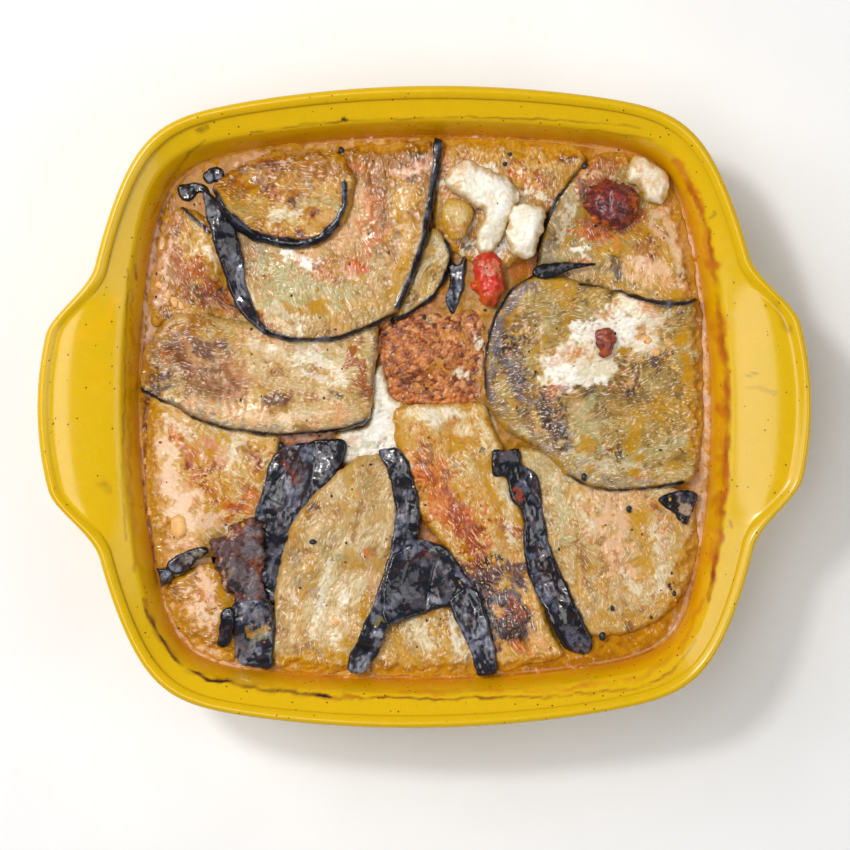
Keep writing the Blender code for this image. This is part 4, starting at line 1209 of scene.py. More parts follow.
# Slices and skins from the lowest to the highest, one row each:
# node, material, slot, look, ramp, settings, outline and marks
# A pink or peach mark laid along a mark of a thin wet pool is part of the painted reflection of the light
# there; slate marks on the skins are painted sheen.
FOOD = (
    ("soft_cheese_centre", "cheese", "soft_cheese", cheese, "cheese", {"seed": 11, "bias": 0.55},
     ((334, 436), (352, 428), (366, 424), (370, 398), (371, 372), (383, 366), (390, 395), (402, 404),
      (414, 410), (412, 432), (404, 446), (398, 460), (370, 462), (350, 466), (338, 458)),
     (("tone", 0.4, 10.0, ((378, 420), (372, 440))), ("tone", -0.8, 3.0, ((392, 420), (400, 425))),
      ("gold", 0.8, 5.0, ((333, 434), (342, 437))), ("orange", 0.6, 4.0, ((398, 436), (404, 432))),
      ("grey", 0.6, 4.0, ((376, 446), (386, 440))), ("green", 0.5, 6.0, ((352, 452), (366, 444))),
      ("peach", 0.5, 5.0, ((340, 446), (356, 438))), ("grey", 0.5, 3.0, ((378, 412), (380, 400))))),
    ("slice_top_centre", "flesh", "aubergine_seared", flesh, "golden",
     {"seed": 16, "grain": 80, "bias": 0.05},
     ((446, 140), (500, 136), (556, 139), (588, 156), (572, 182), (556, 204), (538, 228), (516, 262),
      (486, 266), (462, 254), (438, 240), (434, 190)),
     (("gold", 0.7, 8.0, ((498, 148), (556, 152))), ("olive", 0.5, 5.0, ((505, 163), (510, 152))),
      ("amber", 0.7, 7.0, ((450, 140), (500, 138), (560, 142))),
      ("peach", 0.6, 6.0, ((447, 152), (449, 190), (448, 232))),
      ("orange", 0.8, 2.0, ((446, 146), (446, 192))), ("orange", 0.6, 9.0, ((512, 172), (540, 188))),
      ("rust", 0.8, 5.0, ((514, 160), (528, 168), (546, 182))),
      ("brown", 0.5, 3.0, ((540, 168), (556, 176))),
      ("cream", 0.9, 17.0, ((454, 180), (480, 174), (506, 190), (522, 216), (508, 244), (488, 252))),
      ("cream", 0.7, 8.0, ((466, 216), (468, 246))),
      ("white", 0.85, 12.0, ((470, 184), (500, 196), (510, 222), (506, 244))),
      ("cream", 0.8, 5.0, ((508, 188), (530, 192), (552, 200))),
      ("grey", 0.4, 4.0, ((520, 198), (538, 200))), ("rust", 0.5, 4.0, ((512, 260), (532, 246))))),
    ("slice_left", "flesh", "aubergine_seared", flesh, "golden",
     {"seed": 21, "grain": 62, "bias": 0.06, "glints": 0.2},
     ((172, 212), (184, 207), (206, 216), (230, 240), (250, 290), (268, 334), (225, 336), (190, 326),
      (166, 322), (152, 326), (147, 300), (153, 262), (160, 232)),
     (("tone", 0.75, 6.0, ((196, 230), (206, 245), (214, 262))),
      ("tone", 0.5, 5.0, ((184, 232), (192, 252))),
      ("tone", -0.5, 13.0, ((180, 262), (190, 282), (212, 290))),
      ("orange", 0.55, 12.0, ((186, 262), (204, 284))), ("rust", 0.6, 5.0, ((176, 270), (188, 296))),
      ("rust", 0.5, 4.0, ((206, 286), (216, 288))), ("olive", 0.6, 9.0, ((160, 285), (168, 303))),
      ("slate", 0.3, 7.0, ((172, 300), (180, 310))), ("cream", 0.4, 4.0, ((215, 318), (240, 325))),
      ("brown", 0.7, 2.2, ((166, 314), (190, 316), (214, 325), (238, 334))),
      ("peach", 0.5, 4.0, ((210, 300), (230, 312))), ("umber", 0.8, 2.0, ((204, 293), (207, 292))),
      ("amber", 0.7, 6.0, ((158, 262), (152, 300), (154, 322))),
      ("deep", 0.8, 16.0, ((172, 222), (168, 258), (168, 300))),
      ("rust", 0.5, 12.0, ((180, 258), (196, 280), (222, 300))),
      ("pink", 0.8, 9.0, ((166, 222), (159, 258), (155, 306))),
      ("film", 0.8, 8.0, ((164, 222), (159, 258), (155, 306))),
      ("rind", 1.0, 3.0, ((181, 206), (194, 219), (209, 231))))),
    ("slice_lower_left", "flesh", "aubergine_flesh", flesh, "seared",
     {"seed": 31, "grain": 35, "bias": 0.36, "contrast": 0.8},
     ((150, 390), (180, 402), (230, 424), (268, 432), (278, 440), (274, 470), (262, 515), (240, 552),
      (205, 558), (176, 566), (152, 574), (143, 540), (142, 500), (145, 450)),
     (("tone", -0.4, 8.0, ((186, 455), (200, 480), (214, 500))),
      ("orange", 0.6, 9.0, ((172, 430), (196, 452), (190, 480))),
      ("rust", 0.5, 5.0, ((180, 444), (196, 470))),
      ("peach", 0.9, 22.0, ((164, 480), (186, 530), (216, 520))),
      ("film", 0.9, 16.0, ((160, 450), (168, 490), (196, 500))),
      ("peach", 0.6, 13.0, ((176, 540), (160, 560))),
      ("film", 1.0, 20.0, ((170, 510), (192, 530), (218, 516))),
      ("film", 0.6, 9.0, ((160, 560), (176, 545))), ("pink", 0.5, 8.0, ((205, 440), (222, 462))),
      ("red", 0.35, 5.0, ((203, 438), (214, 450))), ("cream", 0.6, 8.0, ((236, 440), (230, 470))),
      ("cream", 0.5, 6.0, ((168, 420), (190, 436))), ("rust", 0.85, 9.0, ((246, 450), (258, 465))),
      ("umber", 0.5, 4.0, ((250, 448), (262, 462))), ("purple", 0.4, 4.0, ((243, 448), (248, 458))),
      ("orange", 0.8, 10.0, ((228, 508), (256, 500))), ("rust", 0.8, 5.0, ((230, 510), (242, 504))),
      ("amber", 0.85, 4.0, ((178, 456), (183, 478))), ("amber", 0.85, 3.5, ((194, 462), (197, 470))),
      ("amber", 0.85, 4.0, ((205, 505), (208, 511))), ("amber", 0.8, 4.5, ((150, 508), (160, 514))),
      ("amber", 0.7, 5.0, ((152, 404), (149, 450), (150, 490), (154, 530), (157, 560))),
      # The two white dots are painted highlights.
      ("white", 0.9, 4.0, ((224, 528), (229, 532))), ("white", 0.8, 2.5, ((153, 527), (155, 530))),
      ("gold", 0.8, 3.0, ((256, 514), (259, 518))), ("amber", 0.8, 3.0, ((169, 521), (174, 537))))),
    ("slice_upper_right", "flesh", "aubergine_olive", flesh, "olive",
     {"seed": 41, "grain": 70, "bias": 0.15, "relief": 0.8},
     ((573, 178), (558, 196), (546, 220), (538, 250), (538, 272), (560, 290), (610, 302), (655, 310),
      (700, 308), (704, 268), (695, 225), (682, 188), (668, 166), (655, 156), (620, 150), (592, 158)),
     (("grey", 0.6, 9.0, ((572, 192), (560, 214), (552, 240), (548, 262))),
      ("green", 0.35, 5.0, ((578, 195), (570, 225))), ("cream", 0.5, 6.0, ((572, 205), (560, 240))),
      ("orange", 0.5, 12.0, ((596, 160), (620, 155), (645, 160))),
      ("rust", 0.4, 7.0, ((588, 168), (612, 162))), ("peach", 0.6, 9.0, ((580, 184), (600, 176))),
      ("film", 0.7, 8.0, ((580, 184), (604, 174))),
      ("orange", 0.85, 9.0, ((582, 228), (600, 238), (622, 234), (642, 218))),
      ("rust", 0.7, 5.0, ((590, 232), (612, 236), (636, 214))),
      ("rust", 0.75, 13.0, ((584, 190), (604, 184), (630, 196), (640, 214), (612, 230), (592, 224))),
      ("purple", 0.6, 7.0, ((580, 184), (592, 200), (596, 222))),
      ("amber", 0.8, 24.0, ((650, 200), (664, 240), (640, 262), (668, 290))),
      ("rust", 0.5, 13.0, ((640, 216), (656, 236), (640, 250))),
      ("peach", 0.75, 11.0, ((664, 206), (680, 232), (694, 262))),
      ("peach", 0.7, 12.0, ((634, 262), (660, 276), (690, 288))),
      ("film", 0.8, 13.0, ((660, 215), (688, 262))), ("film", 0.8, 10.0, ((636, 262), (664, 276))),
      ("rust", 0.6, 4.0, ((646, 232), (660, 250), (648, 262))),
      ("amber", 0.75, 7.0, ((642, 228), (662, 248), (672, 262))),
      ("amber", 0.7, 6.0, ((600, 278), (640, 294), (690, 296))),
      ("gold", 0.6, 6.0, ((600, 252), (626, 238))), ("umber", 0.7, 5.0, ((614, 256), (620, 276))),
      ("purple", 0.5, 5.0, ((622, 262), (616, 280))), ("umber", 0.6, 3.0, ((650, 236), (658, 246))),
      ("white", 1.0, 8.0, ((577, 249), (585, 252))), ("orange", 0.6, 5.0, ((574, 262), (590, 262))),
      ("peach", 0.5, 7.0, ((570, 268), (592, 272))), ("gold", 0.6, 3.5, ((644, 284), (648, 276))),
      ("lift", 2.0, 8.0, ((577, 249), (585, 252))),
      ("rind", 1.0, 4.5, ((576, 173), (562, 190), (550, 212), (542, 232), (537, 252), (536, 268))))),
    ("slice_lower_right", "flesh", "aubergine_flesh", flesh, "pale",
     {"seed": 51, "grain": 74, "bias": 0.24, "contrast": 0.9, "amber": 0.75},
     ((520, 450), (545, 450), (575, 470), (610, 480), (660, 480), (692, 500), (700, 540), (692, 580),
      (672, 612), (640, 630), (600, 638), (576, 628), (556, 592), (544, 550), (535, 510), (526, 480)),
     (("green", 0.55, 8.0, ((528, 456), (550, 474), (560, 500), (566, 540))),
      ("deep", 0.7, 4.0, ((574, 520), (582, 548), (586, 590))),
      ("deep", 0.7, 5.0, ((600, 540), (606, 566), (608, 596))),
      ("gold", 0.7, 9.0, ((636, 500), (646, 540), (644, 580))),
      ("orange", 0.6, 4.0, ((652, 500), (664, 524), (664, 560))),
      ("tone", 0.5, 9.0, ((560, 480), (590, 500), (592, 530))),
      ("tone", -0.35, 7.0, ((575, 540), (590, 570), (600, 600))),
      ("peach", 0.85, 16.0, ((612, 500), (618, 530), (616, 560))),
      ("peach", 0.5, 12.0, ((590, 492), (640, 494))), ("film", 0.75, 15.0, ((610, 500), (618, 555))),
      ("rust", 0.6, 2.6, ((616, 553), (618, 563))), ("orange", 0.6, 4.0, ((581, 505), (587, 512))),
      ("orange", 0.6, 3.5, ((586, 532), (590, 540))), ("amber", 0.8, 5.0, ((600, 578), (604, 592))),
      ("amber", 0.8, 5.0, ((640, 512), (648, 540), (652, 572))),
      ("amber", 0.7, 6.0, ((680, 520), (686, 560), (672, 596))),
      ("amber", 0.75, 8.0, ((590, 618), (640, 622), (668, 602))),
      ("cream", 0.5, 6.0, ((655, 530), (664, 560), (660, 590))),
      ("cream", 0.6, 5.0, ((622, 572), (640, 592))), ("gold", 0.7, 5.0, ((582, 590), (588, 604))),
      ("purple", 0.8, 2.8, ((612, 609), (613, 610))), ("brown", 0.6, 4.0, ((626, 624), (634, 630))),
      ("peach", 0.5, 7.0, ((668, 506), (680, 520))), ("brown", 0.5, 3.0, ((652, 505), (666, 512))))),
    ("slice_bottom_left", "flesh", "aubergine_flesh", flesh, "amber",
     {"seed": 61, "grain": 20, "bias": 0.0, "relief": 0.6},
     ((150, 594), (172, 578), (205, 564), (232, 576), (246, 602), (240, 634), (230, 664), (205, 664),
      (178, 640)),
     (("peach", 0.8, 8.0, ((186, 608), (200, 612), (214, 620))),
      ("peach", 0.7, 7.0, ((196, 570), (206, 596))), ("cream", 0.4, 4.0, ((198, 614), (212, 618))),
      ("film", 0.8, 9.0, ((188, 606), (214, 618))), ("film", 0.7, 7.0, ((200, 574), (210, 598))),
      ("gold", 0.5, 8.0, ((165, 600), (180, 620))), ("peach", 0.8, 6.0, ((196, 650), (220, 660))),
      ("film", 0.7, 6.0, ((196, 650), (220, 660))), ("red", 0.35, 3.0, ((196, 592), (210, 600))))),
    ("slice_bottom_centre", "flesh", "aubergine_flesh", flesh, "pale",
     {"seed": 71, "grain": 84, "bias": 0.20, "amber": 0.75},
     ((372, 612), (400, 600), (440, 598), (460, 618), (474, 650), (482, 678), (430, 680), (376, 678),
      (370, 640)),
     (("deep", 0.6, 8.0, ((380, 668), (430, 672), (476, 668))),
      ("cream", 0.75, 8.0, ((452, 622), (462, 658))), ("tone", 0.5, 9.0, ((412, 625), (418, 655))),
      ("gold", 0.8, 6.0, ((398, 630), (400, 668))), ("cream", 0.5, 5.0, ((424, 628), (430, 662))),
      ("gold", 0.9, 9.0, ((440, 626), (446, 660))),
      ("amber", 0.8, 14.0, ((386, 640), (400, 660), (440, 668))),
      ("deep", 0.6, 6.0, ((384, 640), (408, 612), (450, 610))),
      ("amber", 0.75, 9.0, ((378, 672), (430, 676), (480, 674))),
      ("gold", 0.6, 8.0, ((385, 630), (392, 660))), ("olive", 0.5, 5.0, ((376, 620), (400, 616))))),
    ("slice_centre", "flesh", "aubergine_seared", flesh, "seared",
     {"seed": 81, "grain": 64, "bias": 0.30, "contrast": 1.0},
     ((396, 408), (416, 404), (440, 403), (482, 404), (491, 420), (502, 446), (512, 480), (524, 512),
      (532, 552), (540, 592), (552, 630), (564, 656), (530, 666), (500, 672), (488, 640), (474, 604),
      (460, 572), (442, 545), (422, 520), (408, 490), (400, 460), (394, 435)),
     (("tone", -1.0, 22.0, ((480, 580), (500, 606), (508, 636))),
      ("tone", 0.65, 14.0, ((410, 412), (440, 415), (474, 422))),
      ("tone", 0.5, 8.0, ((484, 430), (500, 470), (512, 520))),
      ("cream", 0.55, 5.0, ((424, 412), (446, 420))), ("orange", 0.75, 3.5, ((446, 424), (456, 420))),
      ("purple", 0.5, 8.0, ((422, 446), (432, 458))), ("purple", 0.4, 4.0, ((450, 454), (456, 464))),
      ("tone", -0.5, 12.0, ((418, 460), (436, 490), (456, 524), (476, 556))),
      ("orange", 0.85, 15.0, ((420, 462), (440, 492), (458, 522), (474, 548))),
      ("rust", 0.75, 5.0, ((424, 468), (434, 486))),
      ("rust", 0.9, 11.0, ((452, 500), (464, 524), (480, 556))),
      ("red", 0.45, 4.0, ((462, 504), (468, 520))), ("brown", 0.6, 3.0, ((444, 478), (448, 490))),
      ("rust", 0.6, 5.0, ((470, 545), (486, 556), (496, 568))),
      ("amber", 0.8, 5.0, ((494, 560), (508, 570), (516, 582))),
      ("cream", 0.7, 4.0, ((508, 522), (512, 545))),
      ("purple", 1.0, 26.0, ((484, 584), (500, 602), (512, 622))),
      ("umber", 1.0, 20.0, ((490, 590), (506, 610), (508, 632))),
      ("rust", 0.6, 6.0, ((510, 600), (522, 618))),
      ("slate", 0.9, 11.0, ((474, 582), (484, 606), (490, 628))),
      ("black", 0.9, 7.0, ((480, 586), (488, 612), (500, 634))),
      ("peach", 0.6, 7.0, ((530, 628), (545, 648))), ("orange", 0.6, 6.0, ((516, 644), (536, 656))),
      ("black", 0.9, 3.0, ((492, 555), (500, 559))), ("umber", 0.8, 1.8, ((480, 452), (484, 449))),
      ("gold", 0.6, 7.0, ((500, 655), (530, 660))), ("amber", 0.6, 6.0, ((500, 668), (548, 660))))),
    ("slice_mid_left", "flesh", "aubergine_seared", flesh, "pale",
     {"seed": 91, "grain": 4, "bias": 0.26, "contrast": 0.9, "amber": 0.4},
     ((132, 384), (133, 366), (146, 344), (168, 318), (200, 314), (240, 320), (280, 328), (330, 330),
      (374, 322), (377, 350), (375, 375), (372, 400), (366, 422), (345, 430), (310, 434), (277, 436),
      (230, 431), (200, 422), (175, 408), (150, 396)),
     (("tone", 0.5, 18.0, ((285, 352), (325, 362), (340, 378))),
      ("tone", 0.45, 7.0, ((240, 345), (275, 352))),
      ("pink", 0.35, 24.0, ((176, 350), (204, 366), (232, 384))),
      ("tone", -0.35, 24.0, ((176, 350), (204, 366))),
      ("amber", 0.6, 10.0, ((178, 326), (220, 330), (250, 350))),
      ("peach", 0.7, 9.0, ((190, 402), (240, 414), (290, 420), (350, 412))),
      ("brown", 0.55, 20.0, ((150, 350), (172, 366), (204, 384))),
      ("rust", 0.4, 16.0, ((180, 330), (214, 352), (240, 380))),
      ("brown", 0.45, 9.0, ((196, 342), (222, 362), (230, 386))),
      ("white", 0.5, 5.0, ((306, 372), (326, 380))), ("cream", 0.4, 9.0, ((300, 350), (330, 362))),
      ("green", 0.4, 9.0, ((300, 345), (335, 356))),
      ("purple", 0.9, 9.0, ((138, 362), (148, 376), (166, 390))),
      ("umber", 0.8, 5.0, ((142, 358), (156, 380))),
      ("purple", 0.6, 11.0, ((182, 336), (206, 350), (212, 366))),
      ("brown", 0.6, 7.0, ((160, 340), (180, 352), (188, 372))),
      ("rust", 0.6, 4.0, ((186, 372), (192, 376))), ("purple", 0.5, 5.0, ((222, 340), (226, 350))),
      ("orange", 0.5, 4.0, ((160, 350), (166, 362))),
      ("orange", 0.45, 3.0, ((238, 330), (300, 350), (330, 346))),
      ("tone", -0.6, 11.0, ((352, 338), (360, 365), (366, 395))),
      ("rust", 0.7, 9.0, ((350, 342), (360, 370), (364, 392))),
      ("white", 0.35, 9.0, ((306, 352), (326, 362), (338, 372))),
      ("deep", 0.7, 9.0, ((150, 330), (176, 322), (216, 324))),
      ("slate", 0.5, 4.0, ((374, 328), (374, 352), (371, 385))),
      ("brown", 0.8, 8.0, ((266, 397), (284, 400))), ("purple", 0.5, 6.0, ((266, 400), (280, 402))),
      ("umber", 0.75, 3.5, ((333, 394), (341, 396))), ("rust", 0.5, 5.0, ((300, 396), (316, 398))),
      ("purple", 0.4, 4.0, ((198, 404), (206, 406))),
      # Painted shade along the lower rind.
      ("slate", 0.5, 5.0, ((150, 392), (190, 413), (230, 426), (280, 431))),
      ("slate", 0.3, 3.0, ((290, 431), (340, 427), (366, 417))),
      ("cream", 0.35, 4.0, ((200, 404), (240, 414), (290, 418), (330, 414))),
      ("rind", 1.0, 5.0, ((130, 384), (150, 396), (175, 409), (200, 422), (230, 431), (277, 436),
                          (310, 434), (345, 430), (368, 421))))),
    ("skin_lower_left", "skin", "aubergine_skin", skin, "skin", {"seed": 101, "grain": 112, "bias": 0.05},
     ((280, 449), (296, 444), (316, 440), (343, 440), (346, 452), (334, 478), (316, 498), (303, 524),
      (294, 552), (284, 602), (264, 604), (253, 586), (250, 560), (252, 520), (262, 490), (268, 466)),
     (("umber", 0.75, 11.0, ((284, 462), (300, 458), (294, 478))),
      ("rust", 0.35, 4.0, ((282, 462), (296, 480))), ("slate", 0.5, 8.0, ((322, 456), (332, 462))),
      ("slate", 0.55, 7.0, ((276, 500), (284, 530))), ("slate", 0.5, 6.0, ((268, 548), (276, 580))),
      ("umber", 0.5, 6.0, ((298, 500), (306, 492))), ("brown", 0.6, 3.0, ((250, 560), (256, 586))))),
    ("slice_lower_centre", "flesh", "aubergine_flesh", flesh, "pale",
     {"seed": 111, "grain": 108, "bias": 0.16, "contrast": 0.85, "relief": 0.9, "amber": 0.4},
     ((350, 462), (368, 455), (387, 457), (396, 480), (402, 505), (400, 535), (394, 560), (386, 590),
      (374, 622), (358, 652), (346, 672), (300, 676), (272, 668), (271, 630), (274, 590), (283, 550),
      (297, 515), (325, 484)),
     (("tone", 0.4, 26.0, ((350, 520), (340, 570), (320, 620))),
      ("tone", 0.5, 5.0, ((345, 590), (336, 640))), ("tone", 0.5, 5.0, ((330, 580), (322, 610))),
      ("tone", 0.4, 5.0, ((288, 600), (294, 640))),
      ("tone", -0.3, 10.0, ((318, 500), (300, 530), (290, 560))),
      ("grey", 0.5, 13.0, ((300, 565), (310, 600))), ("olive", 0.5, 9.0, ((326, 540), (340, 560))),
      ("gold", 0.5, 8.0, ((350, 490), (366, 500))),
      ("gold", 0.8, 4.0, ((310, 560), (302, 600), (296, 640))),
      ("deep", 0.7, 3.5, ((362, 500), (352, 540))),
      ("cream", 0.7, 4.0, ((330, 560), (320, 600), (312, 640))),
      ("deep", 0.6, 5.0, ((372, 590), (362, 620))), ("brown", 0.3, 3.0, ((364, 462), (384, 462))),
      ("orange", 0.85, 4.5, ((366, 550), (371, 556))), ("peach", 0.5, 9.0, ((372, 575), (378, 600))),
      ("peach", 0.9, 5.5, ((333, 620), (337, 622))), ("film", 0.5, 5.0, ((333, 620), (337, 622))),
      ("amber", 0.8, 6.0, ((366, 598), (360, 622), (350, 645))),
      ("amber", 0.95, 17.0, ((278, 664), (300, 670), (330, 668), (346, 660))),
      ("white", 0.5, 3.0, ((291, 596), (296, 604))), ("rust", 0.5, 2.2, ((343, 582), (345, 584))))),
    ("sliver_upper_left", "flesh", "aubergine_flesh", flesh, "olive",
     {"seed": 121, "grain": 120, "bias": 0.45},
     ((426, 236), (436, 228), (446, 238), (452, 252), (449, 270), (434, 297), (406, 317), (390, 322),
      (402, 296), (416, 262)),
     (("gold", 0.5, 5.0, ((436, 262), (424, 290))), ("cream", 0.5, 4.0, ((438, 240), (440, 258))),
      ("rind", 1.0, 5.5, ((447, 240), (452, 254), (449, 270), (436, 295), (408, 315), (388, 323))))),
    ("slice_upper_left", "flesh", "aubergine_flesh", flesh, "pale",
     {"seed": 131, "grain": 80, "bias": 0.04, "amber": 0.4},
     ((352, 146), (395, 141), (443, 139), (441, 165), (436, 190), (432, 215), (428, 240), (415, 275),
      (398, 310), (375, 326), (340, 339), (310, 342), (280, 339), (260, 330), (246, 300), (236, 272),
      (226, 246), (224, 222), (250, 195), (300, 160)),
     (("deep", 0.95, 30.0, ((352, 152), (380, 158), (404, 162), (436, 156))),
      ("deep", 0.85, 20.0, ((370, 180), (384, 210), (400, 250))),
      ("tone", -0.6, 30.0, ((352, 160), (400, 180), (430, 170))),
      ("deep", 0.7, 9.0, ((424, 170), (420, 210), (410, 250))),
      ("orange", 0.5, 5.0, ((352, 164), (372, 170))), ("rust", 0.6, 5.0, ((412, 164), (428, 160))),
      ("pink", 0.85, 4.5, ((392, 171), (398, 176), (414, 172), (426, 167))),
      ("film", 0.6, 3.5, ((392, 171), (414, 172), (426, 167))),
      ("tone", -0.35, 9.0, ((374, 186), (376, 250))),
      ("rust", 0.6, 5.0, ((372, 182), (374, 212), (370, 244))),
      ("brown", 0.5, 3.0, ((384, 188), (384, 234))),
      ("amber", 1.0, 13.0, ((404, 184), (406, 220), (402, 258))),
      ("film", 0.3, 8.0, ((404, 186), (406, 220), (402, 258))),
      ("amber", 0.7, 5.0, ((416, 220), (408, 262), (392, 292))),
      ("tone", 0.6, 6.0, ((428, 178), (422, 215), (412, 255), (394, 296))),
      ("tone", 0.5, 6.0, ((392, 196), (391, 236))),
      ("orange", 0.5, 11.0, ((296, 262), (318, 268), (336, 272))),
      ("white", 1.0, 8.0, ((282, 252), (298, 258), (316, 266))),
      ("lift", 1.4, 9.0, ((280, 251), (314, 265))),
      ("peach", 0.6, 12.0, ((300, 252), (336, 244), (362, 222), (364, 190))),
      ("pink", 0.8, 5.0, ((346, 270), (356, 276))), ("red", 0.8, 4.5, ((352, 264), (364, 270))),
      ("rust", 0.7, 3.2, ((314, 264), (330, 276), (344, 282))),
      ("rust", 0.5, 3.0, ((318, 258), (334, 262), (346, 258))),
      ("peach", 0.5, 6.0, ((330, 268), (344, 266))),
      ("green", 0.7, 11.0, ((256, 262), (276, 270), (286, 288))),
      ("green", 0.75, 19.0, ((282, 290), (312, 286), (338, 290))),
      ("green", 0.5, 9.0, ((310, 310), (330, 318))), ("amber", 0.7, 9.0, ((300, 312), (322, 306))),
      ("orange", 0.5, 12.0, ((352, 268), (372, 240), (370, 200))),
      ("tone", 0.6, 8.0, ((250, 296), (268, 318), (292, 330))),
      ("cream", 0.5, 8.0, ((276, 306), (300, 322))), ("rust", 0.85, 6.0, ((256, 316), (266, 327))),
      ("gold", 0.5, 10.0, ((330, 318), (360, 306), (380, 296))),
      # Painted shade just below the rind of the slice that lies over this one.
      ("slate", 0.4, 5.0, ((240, 236), (262, 252))),
      ("cream", 1.0, 2.6, ((299, 322), (300, 336), (302, 346))),
      ("umber", 0.9, 3.6, ((340, 146), (342, 152))),
      ("rind", 1.0, 9.0, ((438, 139), (437, 165), (432, 195), (427, 232))),
      ("rind", 1.0, 6.5, ((427, 232), (416, 266), (398, 306))),
      ("rind", 1.0, 6.4, ((244, 300), (254, 322), (270, 334), (290, 340), (312, 342), (340, 339),
                          (372, 327), (396, 315))))),
    ("slice_right", "flesh", "aubergine_olive", flesh, "olive",
     {"seed": 141, "grain": -12, "bias": 0.10, "contrast": 1.05},
     ((535, 275), (512, 287), (498, 308), (489, 330), (485, 360), (486, 395), (492, 412), (508, 432),
      (530, 444), (548, 458), (566, 474), (585, 486), (610, 492), (655, 489), (692, 480), (702, 450),
      (705, 400), (704, 350), (700, 300), (660, 300), (620, 290), (583, 281), (560, 276)),
     (("gold", 0.4, 12.0, ((560, 288), (590, 300), (620, 305))),
      ("tone", -0.5, 14.0, ((512, 300), (530, 330))),
      ("tone", -0.7, 14.0, ((506, 350), (516, 380), (528, 410))),
      ("tone", -0.8, 12.0, ((546, 396), (556, 420), (566, 440))),
      ("brown", 0.6, 9.0, ((500, 330), (512, 352), (520, 380))),
      ("brown", 0.5, 8.0, ((528, 420), (544, 440), (566, 452))),
      ("peach", 0.7, 27.0, ((562, 372), (590, 352), (622, 338), (648, 332))),
      ("cream", 0.85, 24.0, ((562, 372), (590, 354), (620, 338), (646, 330))),
      ("white", 0.95, 15.0, ((584, 330), (606, 322), (622, 332))),
      ("white", 0.9, 13.0, ((556, 370), (580, 378), (606, 382))),
      ("white", 0.6, 8.0, ((628, 340), (646, 344))), ("cream", 0.6, 8.0, ((650, 320), (664, 326))),
      ("orange", 0.45, 5.0, ((552, 360), (568, 350), (588, 352))),
      ("orange", 0.5, 4.0, ((640, 308), (656, 316))),
      ("lift", 1.4, 22.0, ((570, 366), (606, 346), (640, 336))),
      ("umber", 0.85, 4.5, ((512, 344), (522, 356))),
      ("umber", 0.75, 6.0, ((510, 372), (520, 384), (530, 378))),
      ("slate", 0.55, 10.0, ((508, 362), (522, 388))), ("olive", 0.5, 9.0, ((540, 300), (560, 320))),
      ("gold", 0.6, 5.0, ((508, 340), (520, 330), (534, 334))),
      ("purple", 0.8, 6.0, ((654, 362), (672, 354))), ("umber", 0.5, 4.0, ((650, 360), (664, 364))),
      ("gold", 0.6, 5.0, ((654, 330), (668, 336))), ("amber", 0.8, 6.0, ((676, 344), (688, 330))),
      ("amber", 0.8, 6.0, ((690, 372), (692, 420), (694, 450))),
      ("rust", 0.7, 5.0, ((546, 398), (552, 390), (566, 388))),
      ("umber", 0.85, 6.0, ((541, 400), (544, 420), (556, 434))),
      ("umber", 0.75, 6.0, ((560, 404), (566, 420), (562, 436))),
      ("slate", 0.45, 6.0, ((556, 420), (572, 432))), ("gold", 0.6, 4.0, ((534, 412), (538, 432))),
      ("green", 0.8, 13.0, ((582, 408), (590, 426), (600, 436))),
      ("film", 0.3, 12.0, ((584, 410), (594, 430))),
      ("purple", 0.35, 9.0, ((494, 402), (504, 420), (522, 434))),
      ("grey", 0.4, 10.0, ((530, 446), (560, 452))),
      ("umber", 0.4, 6.0, ((606, 392), (640, 396), (660, 404))),
      ("gold", 0.5, 8.0, ((640, 410), (664, 404), (684, 412))),
      ("green", 0.6, 10.0, ((610, 462), (650, 452), (684, 440))),
      ("cream", 0.35, 7.0, ((566, 452), (600, 466), (640, 470))),
      ("grey", 0.6, 6.0, ((572, 474), (610, 484), (655, 482))),
      ("orange", 0.4, 3.0, ((634, 480), (652, 470))),
      ("slate", 0.75, 7.0, ((533, 282), (510, 298), (497, 326), (491, 360), (491, 392))),
      ("rind", 1.0, 4.0, ((540, 272), (520, 281), (506, 296), (495, 316), (488, 338), (484, 364),
                          (485, 396))),
      ("rind", 1.0, 4.4, ((570, 477), (588, 488), (612, 492), (655, 489), (682, 483))),
      ("rind", 1.0, 2.6, ((580, 284), (608, 286), (630, 294))),
      ("rind", 1.0, 6.0, ((630, 294), (642, 298), (655, 301), (670, 304))),
      ("rind", 1.0, 3.6, ((674, 304), (688, 303), (698, 298))))),
    ("skin_middle", "skin", "aubergine_skin", skin, "skin", {"seed": 151, "grain": 100, "bias": 0.1},
     ((379, 451), (386, 470), (393, 495), (395, 515), (392, 540), (386, 562), (378, 590), (364, 624),
      (350, 656), (347, 672), (366, 672), (384, 640), (395, 606), (406, 574), (416, 545), (420, 515),
      (415, 485), (407, 460), (396, 448)),
     (("slate", 0.55, 6.0, ((388, 456), (398, 462))), ("slate", 0.5, 7.0, ((402, 490), (408, 520))),
      ("black", 0.9, 2.6, ((390, 468), (408, 462))), ("black", 0.9, 2.4, ((396, 484), (414, 480))),
      ("black", 0.85, 2.4, ((396, 502), (416, 500))), ("slate", 0.45, 5.0, ((394, 560), (384, 590))),
      ("umber", 0.7, 3.0, ((384, 570), (374, 600))), ("olive", 0.6, 4.0, ((376, 622), (392, 616))),
      ("rust", 0.5, 3.0, ((388, 545), (384, 560))))),
    ("skin_bottom_centre", "skin", "aubergine_skin", skin, "skin",
     {"seed": 161, "grain": 25, "bias": 0.05},
     ((392, 556), (404, 548), (420, 540), (446, 548), (462, 572), (480, 598), (470, 604), (455, 606),
      (430, 613), (405, 620), (384, 624), (382, 600), (386, 576)),
     (("slate", 0.55, 9.0, ((436, 560), (446, 590))), ("umber", 0.75, 7.0, ((408, 560), (424, 556))),
